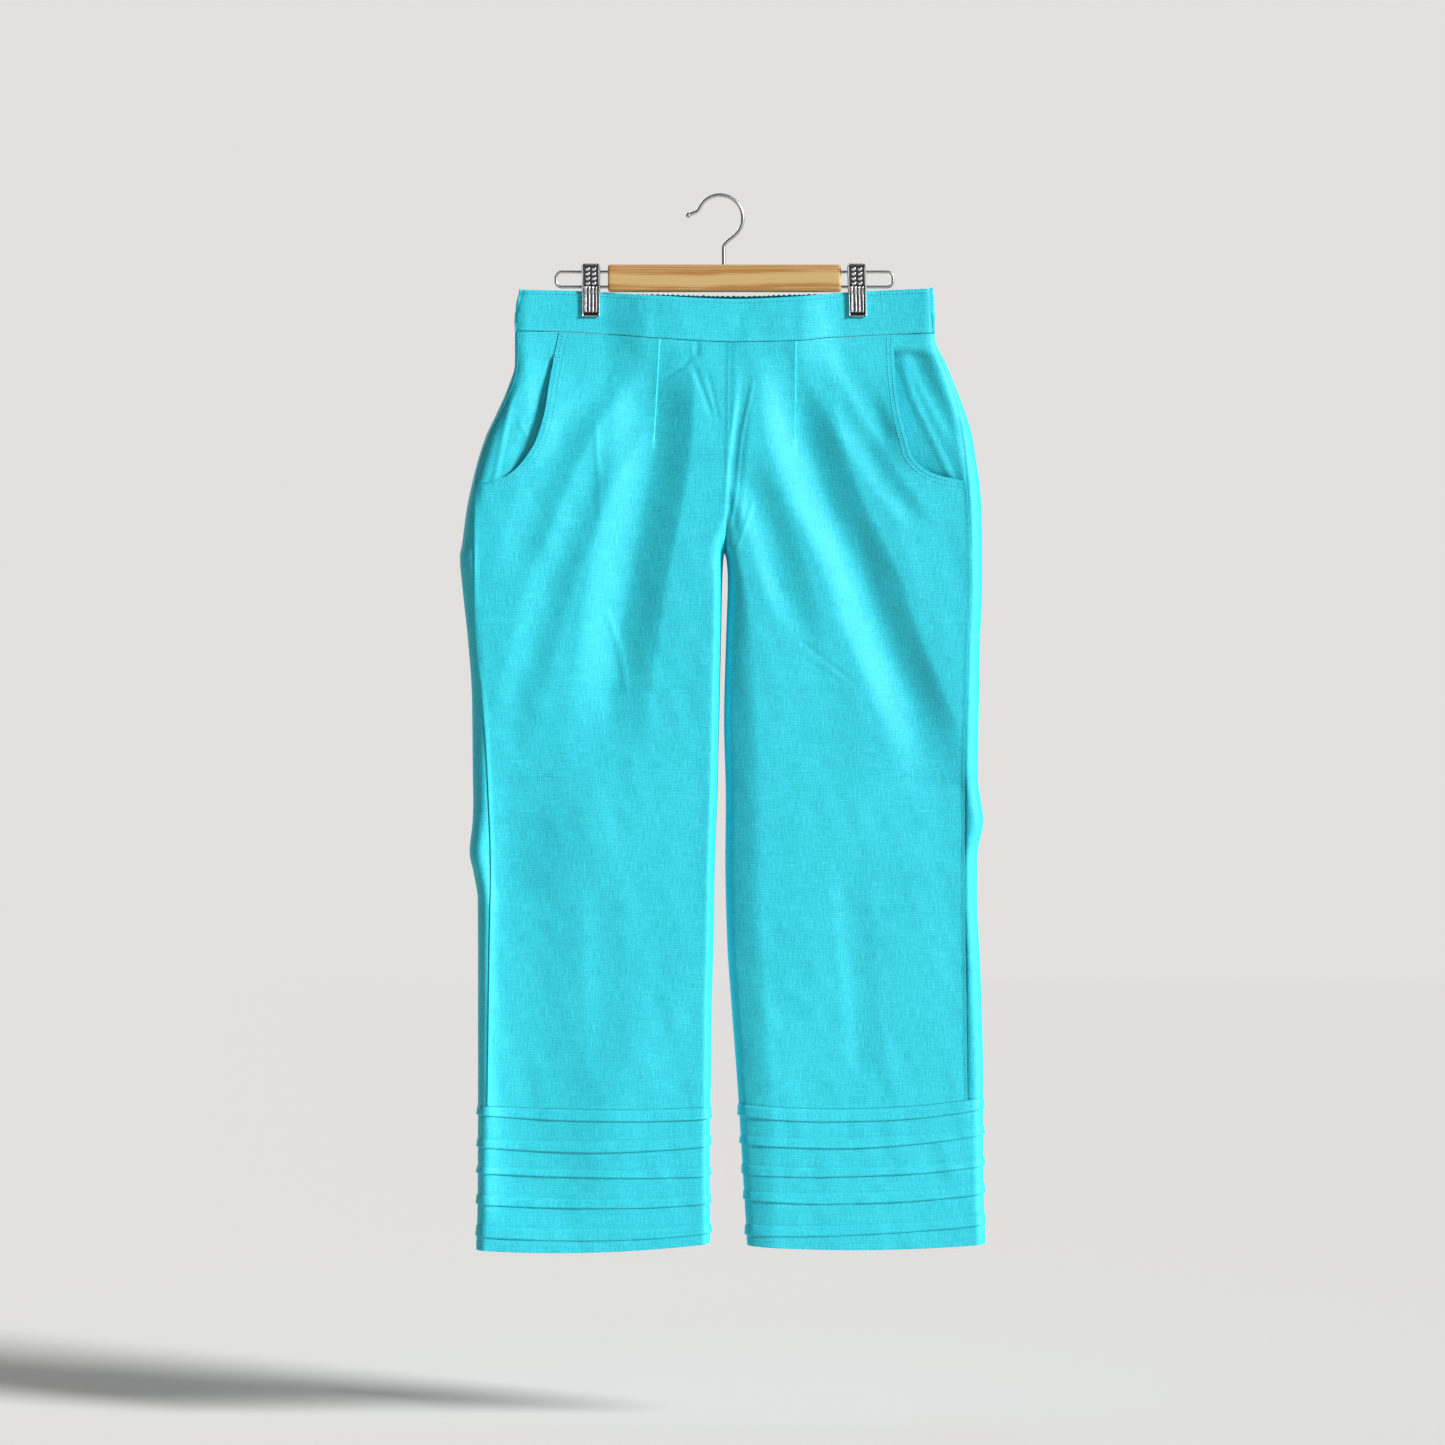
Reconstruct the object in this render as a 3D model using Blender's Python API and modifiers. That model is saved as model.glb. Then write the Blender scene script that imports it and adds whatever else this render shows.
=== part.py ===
"""Elasticated ankle trousers on a clip hanger, as pieces that a maker would cut and sew.

The origin is where the hook's underside bears on a rod. The front faces -Y and +Z is up. Sizes below are in
millimetres. Left and right are as seen from the front.

The cloth is one surface, worked out in level sections: an outline, a depth and a table of folds give each
section, and a piece is a wall between two seams of it.
"""

import math
from collections import namedtuple

import bmesh
import bpy
from mathutils import Vector

MM = 0.001
COLLECTION = "trousers_on_clip_hanger"
LEFT, RIGHT = -1, 1
SIDE_NAMES = {LEFT: "left", RIGHT: "right"}

# Cloth
CLOTH_WALL = 1.3
BAND_WALL = 1.7
HEM_WALL = 1.2
FACING_WALL = 1.1
SEAM_GAP = 0.3
WAIST_DROP = 0.45
FACING_DROP = 2.7
POCKET_LIFT = 1.8
POCKET_LIFT_REACH = 26
FACING_UNDERLAP = 11
FACING_BELOW = 6
WAIST_WRAP = 4

# The outline seen from the front: the outer edge of the left and of the right leg.
Outline = namedtuple("Outline", "height left right")
OUTLINE = [
    Outline(*row)
    for row in (
        (-88, -195.5, 208.5),
        (-116, -200, 209.7),
        (-140, -201, 211),
        (-163, -201, 221.5),
        (-187, -208, 231.3),
        (-211, -218.5, 240.1),
        (-234, -229.3, 247),
        (-258, -237.2, 250.9),
        (-281, -243, 254.3),
        (-305, -248, 256),
        (-340, -252.8, 256.8),
        (-352, -254.9, 256.8),
        (-387, -252, 256.8),
        (-434, -247, 254.8),
        (-493, -243, 253.8),
        (-571, -242.2, 252.8),
        (-591, -241.8, 255.4),
        (-611, -242.4, 257.9),
        (-642, -245.4, 252.4),
        (-662, -241.5, 251.9),
        (-689, -237.4, 251.9),
        (-748, -237.2, 254.8),
        (-846, -237.2, 257.7),
        (-983, -237.6, 258.7),
        (-1035, -239.2, 261),
    )
]

# Half the hollow's depth to the front and back, and how far from its outer fold a section takes to open.
Depth = namedtuple("Depth", "height front back opens_over")
DEPTH = [
    Depth(*row)
    for row in (
        (-88, 7, 8, 10),
        (-140, 9, 11, 13),
        (-190, 14, 20, 18),
        (-250, 19, 27, 24),
        (-350, 23, 30, 28),
        (-500, 22, 26, 26),
        (-700, 20, 22, 24),
        (-885, 16, 17, 20),
        (-1035, 13, 14, 18),
    )
]

# The centre seam from the waist to the crotch, and the inner edge of each leg below it.
CROTCH = -348
CROTCH_RISE = 45
INNER_OPENS_OVER = 17
Centre = namedtuple("Centre", "height across")
CENTRE_SEAM = [Centre(-88, 9), Centre(-142, 8.8), Centre(-219, 7.8), Centre(-295, 6.9), Centre(CROTCH, 4)]
Inner = namedtuple("Inner", "height left right")
INNER_EDGE = [
    Inner(*row)
    for row in (
        (CROTCH, 4, 4),
        (-356, 2.9, 6.4),
        (-375, 2.2, 7.6),
        (-434, 1, 5.9),
        (-513, -0.8, 4),
        (-591, -2.6, 5.7),
        (-650, -4.9, 5.2),
        (-728, -6.2, 6.9),
        (-787, -7.8, 10.8),
        (-865, -8.8, 16.7),
        (-944, -9.8, 21.6),
        (-1035, -9.3, 27),
    )
]
# How far the inseam lies from the inner edge, on the front, where the back piece rolls forward.
Inseam = namedtuple("Inseam", "height left right")
INSEAM = [Inseam(CROTCH, 0, 0), Inseam(-500, 0, 0), Inseam(-780, 0, 1), Inseam(-900, 0, 6), Inseam(-1035, 0, 7)]

# The side seams, which show on the front because the back pieces wrap forward.
Seam = namedtuple("Seam", "height left right")
SIDE_SEAM = [
    Seam(*row)
    for row in (
        (-128, -197, 207.5),
        (-150, -197.3, 213),
        (-178, -200.5, 224),
        (-200, -209.5, 231.2),
        (-236, -226, 237),
        (-280, -238.6, 241),
        (-332, -239.2, 244),
        (-387, -239.1, 245),
        (-445, -237.2, 242),
        (-483, -232.3, 241.2),
        (-552, -227.4, 239.2),
        (-660, -224, 239.1),
        (-750, -225.3, 240.1),
        (-900, -227.4, 242),
    )
]

# The curved slant pocket edges, from the waist seam down to the side seam.
Edge = namedtuple("Edge", "height across")
POCKET_EDGE = {
    LEFT: [
        Edge(*row)
        for row in (
            (-128, -156.3),
            (-155, -162.1),
            (-186, -167.6),
            (-209, -170.8),
            (-239, -179.3),
            (-261.7, -193.6),
            (-275.4, -209.7),
            (-279.4, -221),
            (-281.4, -230.5),
            (-283, -238.6),
        )
    ],
    RIGHT: [
        Edge(*row)
        for row in (
            (-128, 171.1),
            (-153, 170.6),
            (-172.5, 171.5),
            (-195, 173.5),
            (-215, 176.4),
            (-239, 182.3),
            (-255, 187.4),
            (-268.5, 200.9),
            (-275.4, 218.5),
            (-277.6, 230),
            (-279.3, 240.9),
        )
    ],
}

# The waistband's edges: the front top edge sags between the clips, and the gathered back stands higher.
Across = namedtuple("Across", "across front_top back_top seam")
WAIST_LINES = [
    Across(*row)
    for row in (
        (-202, -91, -91, -131.2),
        (-157, -91.8, -91.8, -132.3),
        (-126, -92.9, -92.9, -134),
        (-103, -94.4, -94.1, -135.3),
        (-63, -97.2, -94.9, -138.8),
        (15, -100.5, -96.4, -142.6),
        (74, -98.2, -95.1, -141.5),
        (112, -94.6, -94.1, -137.6),
        (134, -92.9, -92.9, -136.6),
        (165, -91.4, -91.4, -135.2),
        (214, -89.6, -89.6, -133.2),
    )
]

# The clips pinch the waist nearly flat.
CLIP_AT = {LEFT: -126.4, RIGHT: 134.3}
GRIP_HALF = 2.3
GRIP_HALF_WIDTH = 11
GRIP_FADES_OVER = 46
GRIP_ABOVE = -121
GRIP_GONE = -235

# Soft troughs, or ridges where the depth is below nought: each runs down a path of (height, across).
Fold = namedtuple("Fold", "name width depth path")
FRONT_FOLDS = [
    Fold("left_outer_drag", 13, 3.6,
         ((-160, -92), (-195, -110), (-239, -128), (-291, -170), (-326, -180), (-385, -198))),
    Fold("left_middle_drag", 12, 3.4,
         ((-170, -73), (-213, -87), (-295, -114), (-389, -147), (-473, -173), (-530, -196))),
    Fold("left_main_valley", 17, 8.5,
         ((-150, -46), (-221, -48), (-314, -57), (-426, -72), (-550, -89))),
    Fold("right_main_valley", 15, 8,
         ((-150, 84), (-213, 94), (-257, 105), (-332, 135), (-408, 163), (-492, 199), (-575, 224))),
    Fold("right_inner_drag", 11, 3.6, ((-262, 28), (-320, 48), (-398, 73), (-440, 77))),
    Fold("right_hip_drag", 10, 3, ((-166, 100), (-221, 136), (-265, 168), (-325, 212))),
    Fold("right_main_ridge", 16, -3.4,
         ((-166, 57), (-257, 73), (-332, 91), (-426, 127), (-550, 186))),
    Fold("right_inner_roll", 11, 4, ((-230, 17), (-400, 19), (-700, 19), (-860, 30), (-960, 40))),
    Fold("left_knee_break", 34, 2.2, ((-600, -205), (-650, -214), (-700, -205))),
    Fold("right_knee_break", 30, 2, ((-560, 226), (-612, 232), (-660, 226))),
]
BACK_FOLDS = [
    Fold("left_seat_drop_outer", 15, 5, ((-128, -176), (-220, -182), (-330, -196), (-420, -204))),
    Fold("left_seat_drop_middle", 17, 7, ((-128, -98), (-260, -104), (-400, -117), (-560, -122))),
    Fold("left_seat_drop_inner", 13, 5, ((-128, -40), (-230, -46), (-330, -62))),
    Fold("right_seat_drop_inner", 14, 6, ((-128, 52), (-240, 58), (-360, 76), (-470, 82))),
    Fold("right_seat_drop_middle", 16, 7, ((-128, 118), (-250, 122), (-430, 138), (-600, 141))),
    Fold("right_seat_drop_outer", 13, 4.5, ((-128, 190), (-210, 196), (-300, 206))),
    Fold("left_calf_fall", 26, 3, ((-560, -90), (-700, -96), (-880, -101))),
    Fold("right_calf_fall", 24, 3, ((-590, 100), (-720, 108), (-870, 117))),
]
FOLD_END = 0.22
FOLD_CLEAR_OF_EDGE = 22

# Five tucks a leg: the heights of each stitch line and fold edge at the leg's left edge, middle and right edge.
Tuck = namedtuple("Tuck", "stitch_left stitch_middle stitch_right fold_left fold_middle fold_right")
TUCKS = {
    LEFT: [
        Tuck(*row)
        for row in (
            (-889, -892.8, -890.3, -898, -904.5, -901.6),
            (-921, -923.2, -917.5, -930, -935, -929),
            (-947.7, -951.6, -949, -956, -960, -958.4),
            (-975, -980, -975, -986, -990, -985),
            (-1005.5, -1009.4, -1005, -1017.2, -1021.7, -1014.5),
        )
    ],
    RIGHT: [
        Tuck(*row)
        for row in (
            (-887, -891.8, -881, -899, -904.5, -892),
            (-918.3, -919.2, -908.5, -927, -930, -917.5),
            (-945.7, -948.6, -938.8, -956.5, -958.4, -948.6),
            (-972.2, -973.1, -964.3, -981.5, -985, -975.5),
            (-1005.5, -1004.5, -994.7, -1016.8, -1015.6, -1005.5),
        )
    ],
}
HEM = {LEFT: (-1031, -1033, -1024.5), RIGHT: (-1027, -1030.5, -1025)}
TUCK_RISE = 1.5
TUCK_SHOULDER = 2.2
TUCK_LIP = 1.2
TUCK_UNDERCUT = 0.7

# Elastic gathers in the back waistband
GATHERS = 44
GATHER_RISE = 1.0
COLUMNS_PER_GATHER = 4

# Heights near the seams, at which a column's place across is first read
WAISTBAND_ABOUT = -115
WAIST_SEAM_ABOUT = -138
HEM_BAND_ABOUT = -890

# How finely the pieces are cut up
SECTION_STEPS = 110
FRONT_COLUMNS = 15
BACK_COLUMNS = 12
FACING_COLUMNS = 7
BAND_COLUMNS = 36
HEM_COLUMNS = 22
COLUMNS_KEPT = 0.5
ROWS_BELOW_POCKET = (
    -300, -320, -333, -340.5, -345, CROTCH, -356, -375, -405, -440, -480, -525, -570, -598, -620, -645, -672,
    -740, -820,
)

# Hanger
BAR_LEFT, BAR_RIGHT = -109.8, 118.6
BAR_TOP, BAR_BOTTOM = -66.6, -93
BAR_THICK = 12
BAR_ROUND = 2.5
HOOK_WIRE = 1.8
HOOK_RADIUS = 22.4
HOOK_FROM, HOOK_TO = -50, 158
STEM_AT = 3.7
STEM_TOP = -49
STEM_END = -82
HOOK_TIP = (-30.5, -17.6)
HOOK_BALL = 2.6
WIRE = 1.45
WIRE_UPPER, WIRE_LOWER = -73.5, -88.2
WIRE_REACH = {LEFT: -160.7, RIGHT: 169.5}
WIRE_CORNER = 5.5
WIRE_IN_BAR = 16
HOLE_CLEARANCE = 0.35

# Clips
CLIP_WIDTH = 17.6
CLIP_METAL = 1.0
CLIP_RIM = 1.3
CLIP_RIM_WIDTH = 1.2
SLEEVE_OUTER = 2.9
SLEEVE_WIDTH = 12
# A plate's inner face down its height: how far it stands from the middle.
Plate = namedtuple("Plate", "height stands rim")
CLIP_PLATE = [
    Plate(*row)
    for row in (
        (-66.4, 8.4, 0.3),
        (-68.4, 8.2, 1.0),
        (-79, 5.2, 1.3),
        (-85, 3.7, 1.3),
        (-88.2, SLEEVE_OUTER + SEAM_GAP, 1.3),
        (-92, 3.1, 1.3),
        (-96, GRIP_HALF + SEAM_GAP, 1.2),
        (-115.4, GRIP_HALF + SEAM_GAP, 1.2),
        (-117.6, 3.3, 0.5),
    )
]

Finish = namedtuple("Finish", "color roughness metallic")
FINISHES = {
    "cloth": Finish((0.07, 0.62, 0.75), 0.85, 0.0),
    "wood": Finish((0.72, 0.47, 0.24), 0.55, 0.0),
    "wire": Finish((0.55, 0.56, 0.57), 0.4, 1.0),
    "chrome": Finish((0.7, 0.7, 0.72), 0.22, 1.0),
}


# Small sums

def read(table, column, at):
    """Returns a column of a table at a value of its first column, smoothly between rows."""
    rows = sorted(table, key=lambda row: row[0])
    keys = [row[0] for row in rows]
    values = [getattr(row, column) for row in rows]
    return smooth(keys, values, at)


def smooth(keys, values, at):
    """Returns the value at a key between rising keys, as one smooth line that doesn't overshoot."""
    if at <= keys[0]:
        return values[0]
    if at >= keys[-1]:
        return values[-1]
    i = max(k for k in range(len(keys) - 1) if keys[k] <= at)
    slopes = [(values[k + 1] - values[k]) / (keys[k + 1] - keys[k]) for k in range(len(keys) - 1)]

    def slope_at(k):
        if k == 0:
            return slopes[0]
        if k == len(keys) - 1:
            return slopes[-1]
        before, after = slopes[k - 1], slopes[k]
        return 0.0 if before * after <= 0 else 2 * before * after / (before + after)

    width = keys[i + 1] - keys[i]
    t = (at - keys[i]) / width
    rise = values[i + 1] - values[i]
    start, end = slope_at(i) * width, slope_at(i + 1) * width
    return values[i] + t * start + t * t * (3 * rise - 2 * start - end) + t ** 3 * (start + end - 2 * rise)


def ease(t):
    """Returns 0 to 1 as t goes from 0 to 1, with soft ends."""
    t = min(max(t, 0.0), 1.0)
    return t * t * (3 - 2 * t)


def opening(distance, over):
    """Returns how far a section has opened, 0 to 1, at a distance from the fold that closes it."""
    t = min(max(distance / over, 0.0), 1.0)
    return math.sqrt(1 - (1 - t) ** 2)


def spread(steps, to_ends):
    """Returns fractions from 0 to 1, closer together at both ends as to_ends goes from 0 to 1."""
    even = [i / steps for i in range(steps + 1)]
    return [(1 - to_ends) * t + to_ends * (0.5 - 0.5 * math.cos(math.pi * t)) for t in even]


def three_points(values, left, right, across):
    """Returns the height at across of the curve through heights at the left, middle and right."""
    t = min(max((across - left) / (right - left), 0.0), 1.0)
    start, middle, end = values
    return start * (1 - t) * (1 - 2 * t) + middle * 4 * t * (1 - t) + end * t * (2 * t - 1)


# The cloth's surface

def grip(across, height):
    """Returns how much of the depth the nearest clip takes away, 0 to 1."""
    near = min(abs(across - at) for at in CLIP_AT.values())
    sideways = 1 - ease((near - GRIP_HALF_WIDTH) / GRIP_FADES_OVER)
    return sideways * (1 - ease((GRIP_ABOVE - height) / (GRIP_ABOVE - GRIP_GONE)))


def folds_at(folds, height):
    """Returns (across, width, depth) of each fold that passes a height."""
    found = []
    for fold in folds:
        heights = [point[0] for point in reversed(fold.path)]
        acrosses = [point[1] for point in reversed(fold.path)]
        low, high = heights[0], heights[-1]
        if not low < height < high:
            continue
        from_top = (high - height) / (high - low)
        fade = ease(from_top / FOLD_END) * ease((1 - from_top) / FOLD_END)
        found.append((smooth(heights, acrosses, height), fold.width, fold.depth * fade))
    return found


def bent(across, folds):
    """Returns how far the folds push the cloth in at a place."""
    return sum(depth * math.exp(-(((across - at) / width) ** 2)) for at, width, depth in folds)


class Ring:
    """A level section: a line from the inner edge over the front, round the outer edge and over the back."""

    def __init__(self, front, back, closed, inward):
        self.points = front + back[::-1][1:]
        self.front_count = len(front)
        self.closed = closed
        self.inward = inward
        self.lengths = [0.0]
        for before, after in zip(self.points, self.points[1:]):
            self.lengths.append(self.lengths[-1] + math.dist(before, after))
        self.total = self.lengths[-1]
        self.front_length = self.lengths[self.front_count - 1]

    def where(self, along):
        """Returns the index of the stretch that holds a length along the line."""
        low, high = 0, len(self.lengths) - 2
        while low < high:
            middle = (low + high + 1) // 2
            if self.lengths[middle] <= along:
                low = middle
            else:
                high = middle - 1
        return low

    def place(self, along):
        """Returns the point at a length along the line."""
        if self.closed:
            along %= self.total
        along = min(max(along, 0.0), self.total)
        i = self.where(along)
        step = self.lengths[i + 1] - self.lengths[i]
        t = (along - self.lengths[i]) / step if step else 0.0
        a, b = self.points[i], self.points[i + 1]
        return (a[0] + t * (b[0] - a[0]), a[1] + t * (b[1] - a[1]))

    def normal(self, along, reach=0.8):
        """Returns the direction into the hollow at a length along the line."""
        before, after = self.place(along - reach), self.place(along + reach)
        tangent = Vector((after[0] - before[0], after[1] - before[1])).normalized()
        return (-tangent.y * self.inward, tangent.x * self.inward)

    def front_along(self, across):
        """Returns the length along the line at which the front passes a place."""
        sign = 1 if self.points[self.front_count - 1][0] > self.points[0][0] else -1
        for i in range(self.front_count - 1):
            a, b = self.points[i][0] * sign, self.points[i + 1][0] * sign
            if a <= across * sign <= b and b > a:
                return self.lengths[i] + (across * sign - a) / (b - a) * (self.lengths[i + 1] - self.lengths[i])
        return self.front_length


def face_points(height, start, end, start_opens, end_opens, front, rise=0.0):
    """Returns the section's front or back line between two edges, in small steps."""
    depth = read(DEPTH, "front" if front else "back", height)
    folds = folds_at(FRONT_FOLDS if front else BACK_FOLDS, height)
    points = []
    for i in range(SECTION_STEPS + 1):
        t = 0.5 - 0.5 * math.cos(math.pi * i / SECTION_STEPS)
        across = start + t * (end - start)
        from_start, from_end = abs(across - start) + rise, abs(end - across)
        opened = opening(from_start, start_opens) * opening(from_end, end_opens)
        held = grip(across, height)
        half = depth * opened
        half -= held * max(half - GRIP_HALF * opened, 0.0)
        clear = ease(from_start / FOLD_CLEAR_OF_EDGE) * ease(from_end / FOLD_CLEAR_OF_EDGE)
        half -= bent(across, folds) * clear * (1 - held)
        points.append((across, -half if front else half))
    return points


def leg_ring(side, height, known={}):
    """Returns a leg's section, made once. Above the crotch it is open at the centre seam."""
    key = (side, round(height, 4))
    if key in known:
        return known[key]
    outer = read(OUTLINE, SIDE_NAMES[side], height)
    opens = read(DEPTH, "opens_over", height)
    if height > CROTCH:
        inner = read(CENTRE_SEAM, "across", height)
        rise = INNER_OPENS_OVER * (height - CROTCH) / CROTCH_RISE
    else:
        inner = read(INNER_EDGE, SIDE_NAMES[side], height)
        rise = 0.0
    lines = [
        face_points(height, inner, outer, INNER_OPENS_OVER, opens, front, rise) for front in (True, False)
    ]
    known[key] = Ring(lines[0], lines[1], height <= CROTCH, side)
    return known[key]


def waist_ring(height, known={}):
    """Returns the waist's section, made once: from its left edge over the front to its right edge and back."""
    key = round(height, 4)
    if key not in known:
        left, right = read(OUTLINE, "left", height), read(OUTLINE, "right", height)
        opens = read(DEPTH, "opens_over", height)
        lines = [face_points(height, left, right, opens, opens, front) for front in (True, False)]
        known[key] = Ring(lines[0], lines[1], True, 1)
    return known[key]


# Seams

def waist_line(name, across):
    """Returns the height of one of the waistband's edges."""
    return read(WAIST_LINES, name, across)


def tuck_lines(side):
    """Returns the heights at the leg's left edge, middle and right edge of each tuck's stitch and fold."""
    return [
        ((tuck.stitch_left, tuck.stitch_middle, tuck.stitch_right),
         (tuck.fold_left, tuck.fold_middle, tuck.fold_right))
        for tuck in TUCKS[side]
    ]


def leg_edges(side, height):
    """Returns the leg's left and right edge at a height in the hem band."""
    inner, outer = read(INNER_EDGE, SIDE_NAMES[side], height), read(OUTLINE, SIDE_NAMES[side], height)
    return min(inner, outer), max(inner, outer)


def across_leg(side, heights, across):
    """Returns the height of a line across the hem band at a place."""
    left, right = leg_edges(side, heights[1])
    return three_points(heights, left, right, across)


def pocket_bottom(side):
    """Returns the height at which a pocket edge meets the side seam."""
    return POCKET_EDGE[side][-1].height


def front_end(side, height):
    """Returns the place where the front leg ends: the pocket edge, or the side seam below it."""
    if height > pocket_bottom(side):
        return read(POCKET_EDGE[side], "across", height)
    return read(SIDE_SEAM, SIDE_NAMES[side], height)


def inseam_along(side, height):
    """Returns the inseam's length along the section, measured from the inner edge."""
    return 0.0 if height > CROTCH else read(INSEAM, SIDE_NAMES[side], height)


# Meshes

def material_for(name):
    """Returns the material of a finish, made once."""
    if name in bpy.data.materials:
        return bpy.data.materials[name]
    finish = FINISHES[name]
    material = bpy.data.materials.new(name)
    material.use_nodes = True
    shader = material.node_tree.nodes["Principled BSDF"]
    shader.inputs["Base Color"].default_value = (*finish.color, 1)
    shader.inputs["Roughness"].default_value = finish.roughness
    shader.inputs["Metallic"].default_value = finish.metallic
    material.diffuse_color = (*finish.color, 1)
    return material


def add_mesh(name, points, faces, finish, collection):
    """Adds a closed mesh whose points are in millimetres, with its faces turned outwards."""
    mesh = bpy.data.meshes.new(name)
    mesh.from_pydata([Vector(point) * MM for point in points], [], faces)
    shape = bmesh.new()
    shape.from_mesh(mesh)
    bmesh.ops.recalc_face_normals(shape, faces=shape.faces)
    shape.to_mesh(mesh)
    shape.free()
    mesh.materials.append(material_for(finish))
    thing = bpy.data.objects.new(name, mesh)
    collection.objects.link(thing)
    return thing


def grid_faces(rows, columns, start, closed):
    """Returns the faces of a grid of points, which closes on itself across where asked."""
    faces = []
    for row in range(rows - 1):
        for column in range(columns if closed else columns - 1):
            after = (column + 1) % columns
            a, b = start + row * columns + column, start + row * columns + after
            faces.append((a, b, b + columns, a + columns))
    return faces


def wall(name, outer, inner, finish, collection, closed=False):
    """Adds a cloth wall between an outer and an inner grid of points, which have the same columns."""
    columns = len(outer[0])
    points = [point for row in outer + inner for point in row]
    start = len(outer) * columns
    faces = grid_faces(len(outer), columns, 0, closed)
    faces += [face[::-1] for face in grid_faces(len(inner), columns, start, closed)]
    last_outer, last_inner = start - columns, len(points) - columns
    for column in range(columns if closed else columns - 1):
        after = (column + 1) % columns
        faces.append((start + column, start + after, after, column))
        faces.append((last_outer + column, last_outer + after, last_inner + after, last_inner + column))
    if not closed:
        for row in range(len(outer) - 1):
            for column in (0, columns - 1):
                a, c = row * columns + column, start + row * columns + column
                faces.append((a, a + columns, c + columns, c))
    return add_mesh(name, points, faces, finish, collection)


def moved(ring, along, height, inwards):
    """Returns the 3-D point of a section at a length along it, moved into the hollow."""
    x, y = ring.place(along)
    into_x, into_y = ring.normal(along)
    return (x + into_x * inwards, y + into_y * inwards, height)


# Cloth pieces

def leg_heights(side):
    """Returns the heights of the level rows of a leg, between its waist seam and its hem band."""
    pocket = [edge.height for edge in POCKET_EDGE[side][1:]]
    return pocket + list(ROWS_BELOW_POCKET)


def leg_rows(side, fractions, span):
    """Returns, for each row down a leg, its (height, along) at each column.

    Args:
        side: LEFT or RIGHT.
        fractions: where the columns are, from 0 to 1 across the piece.
        span: a function of a height that gives the piece's two ends along the section, and its full width's end.
    """
    rows = []
    for guess, line in (
        (WAIST_SEAM_ABOUT, lambda x: waist_line("seam", x) - WAIST_DROP),
        *((height, None) for height in leg_heights(side)),
        (HEM_BAND_ABOUT, lambda x: across_leg(side, tuck_lines(side)[0][0], x) + SEAM_GAP / 2),
    ):
        row = []
        for fraction in fractions:
            height = guess
            if line:
                x, _ = leg_ring(side, guess).place(column_along(fraction, *span(guess)))
                height = line(x)
            row.append((height, column_along(fraction, *span(height))))
        rows.append(row)
    return rows


def column_along(fraction, start, end, full):
    """Returns where a column lies along a section.

    The columns are spread from start to full, the whole width. Where the piece ends short of that, at a pocket,
    only the columns past COLUMNS_KEPT are drawn in, so the others run straight down.
    """
    kept = start + COLUMNS_KEPT * (full - start)
    along = start + fraction * (full - start)
    if along <= kept:
        return along
    return kept + (along - kept) / (full - kept) * (end - kept)


def leg_wall(name, side, rows, raised, collection):
    """Adds a leg piece from its rows. raised gives how far the cloth stands out of the surface at a place."""
    outer, inner = [], []
    for row in rows:
        outs, ins = [], []
        for height, along in row:
            ring = leg_ring(side, height)
            out = raised(ring, height, along)
            outs.append(moved(ring, along, height, -out))
            ins.append(moved(ring, along, height, CLOTH_WALL - out))
        outer.append(outs)
        inner.append(ins)
    return wall(name, outer, inner, "cloth", collection)


def front_leg(side, collection):
    """Adds a front leg, cut away along its pocket and lifted there."""

    def span(height):
        ring = leg_ring(side, height)
        side_seam = ring.front_along(read(SIDE_SEAM, SIDE_NAMES[side], height))
        end = ring.front_along(front_end(side, height))
        return inseam_along(side, height) + SEAM_GAP / 2, end - SEAM_GAP / 2, side_seam - SEAM_GAP / 2

    def raised(ring, height, along):
        if height < pocket_bottom(side):
            return 0.0
        top, bottom = waist_line("seam", front_end(side, height)), pocket_bottom(side)
        down = (top - height) / (top - bottom)
        lift = POCKET_LIFT * ease(down / 0.35) * ease((1 - down) / 0.2)
        reach = ring.front_along(front_end(side, height)) - along
        return lift * (1 - ease(reach / POCKET_LIFT_REACH))

    rows = leg_rows(side, spread(FRONT_COLUMNS, 0.45), span)
    return leg_wall(f"front_leg_{SIDE_NAMES[side]}", side, rows, raised, collection)


def back_leg(side, collection):
    """Adds a back leg, from the side seam round the outer fold to the inseam or the centre seam."""

    def span(height):
        ring = leg_ring(side, height)
        start = ring.front_along(read(SIDE_SEAM, SIDE_NAMES[side], height)) + SEAM_GAP / 2
        end = ring.total + inseam_along(side, height) - SEAM_GAP / 2
        return start, end, end

    rows = leg_rows(side, spread(BACK_COLUMNS, 0.75), span)
    return leg_wall(f"back_leg_{SIDE_NAMES[side]}", side, rows, lambda ring, height, along: 0.0, collection)


def pocket_facing(side, collection):
    """Adds the facing that shows in the pocket, under the front leg's edge and out to the side seam."""
    outer, inner = [], []
    bottom = pocket_bottom(side) - FACING_BELOW
    heights = [None] + [edge.height for edge in POCKET_EDGE[side][1:-1]] + [bottom]
    for given in heights:
        outs, ins = [], []
        for fraction in spread(FACING_COLUMNS, 0.3):
            height = WAIST_SEAM_ABOUT if given is None else given
            for _ in range(2 if given is None else 1):
                ring = leg_ring(side, height)
                edge = read(POCKET_EDGE[side], "across", max(height, POCKET_EDGE[side][-3].height))
                start = ring.front_along(edge) - FACING_UNDERLAP
                end = ring.front_along(read(SIDE_SEAM, SIDE_NAMES[side], height)) - SEAM_GAP
                along = start + fraction * (end - start)
                if given is None:
                    height = waist_line("seam", ring.place(along)[0]) - WAIST_DROP
            ring = leg_ring(side, height)
            outs.append(moved(ring, along, height, FACING_DROP))
            ins.append(moved(ring, along, height, FACING_DROP + FACING_WALL))
        outer.append(outs)
        inner.append(ins)
    return wall(f"pocket_facing_{SIDE_NAMES[side]}", outer, inner, "cloth", collection)


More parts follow.
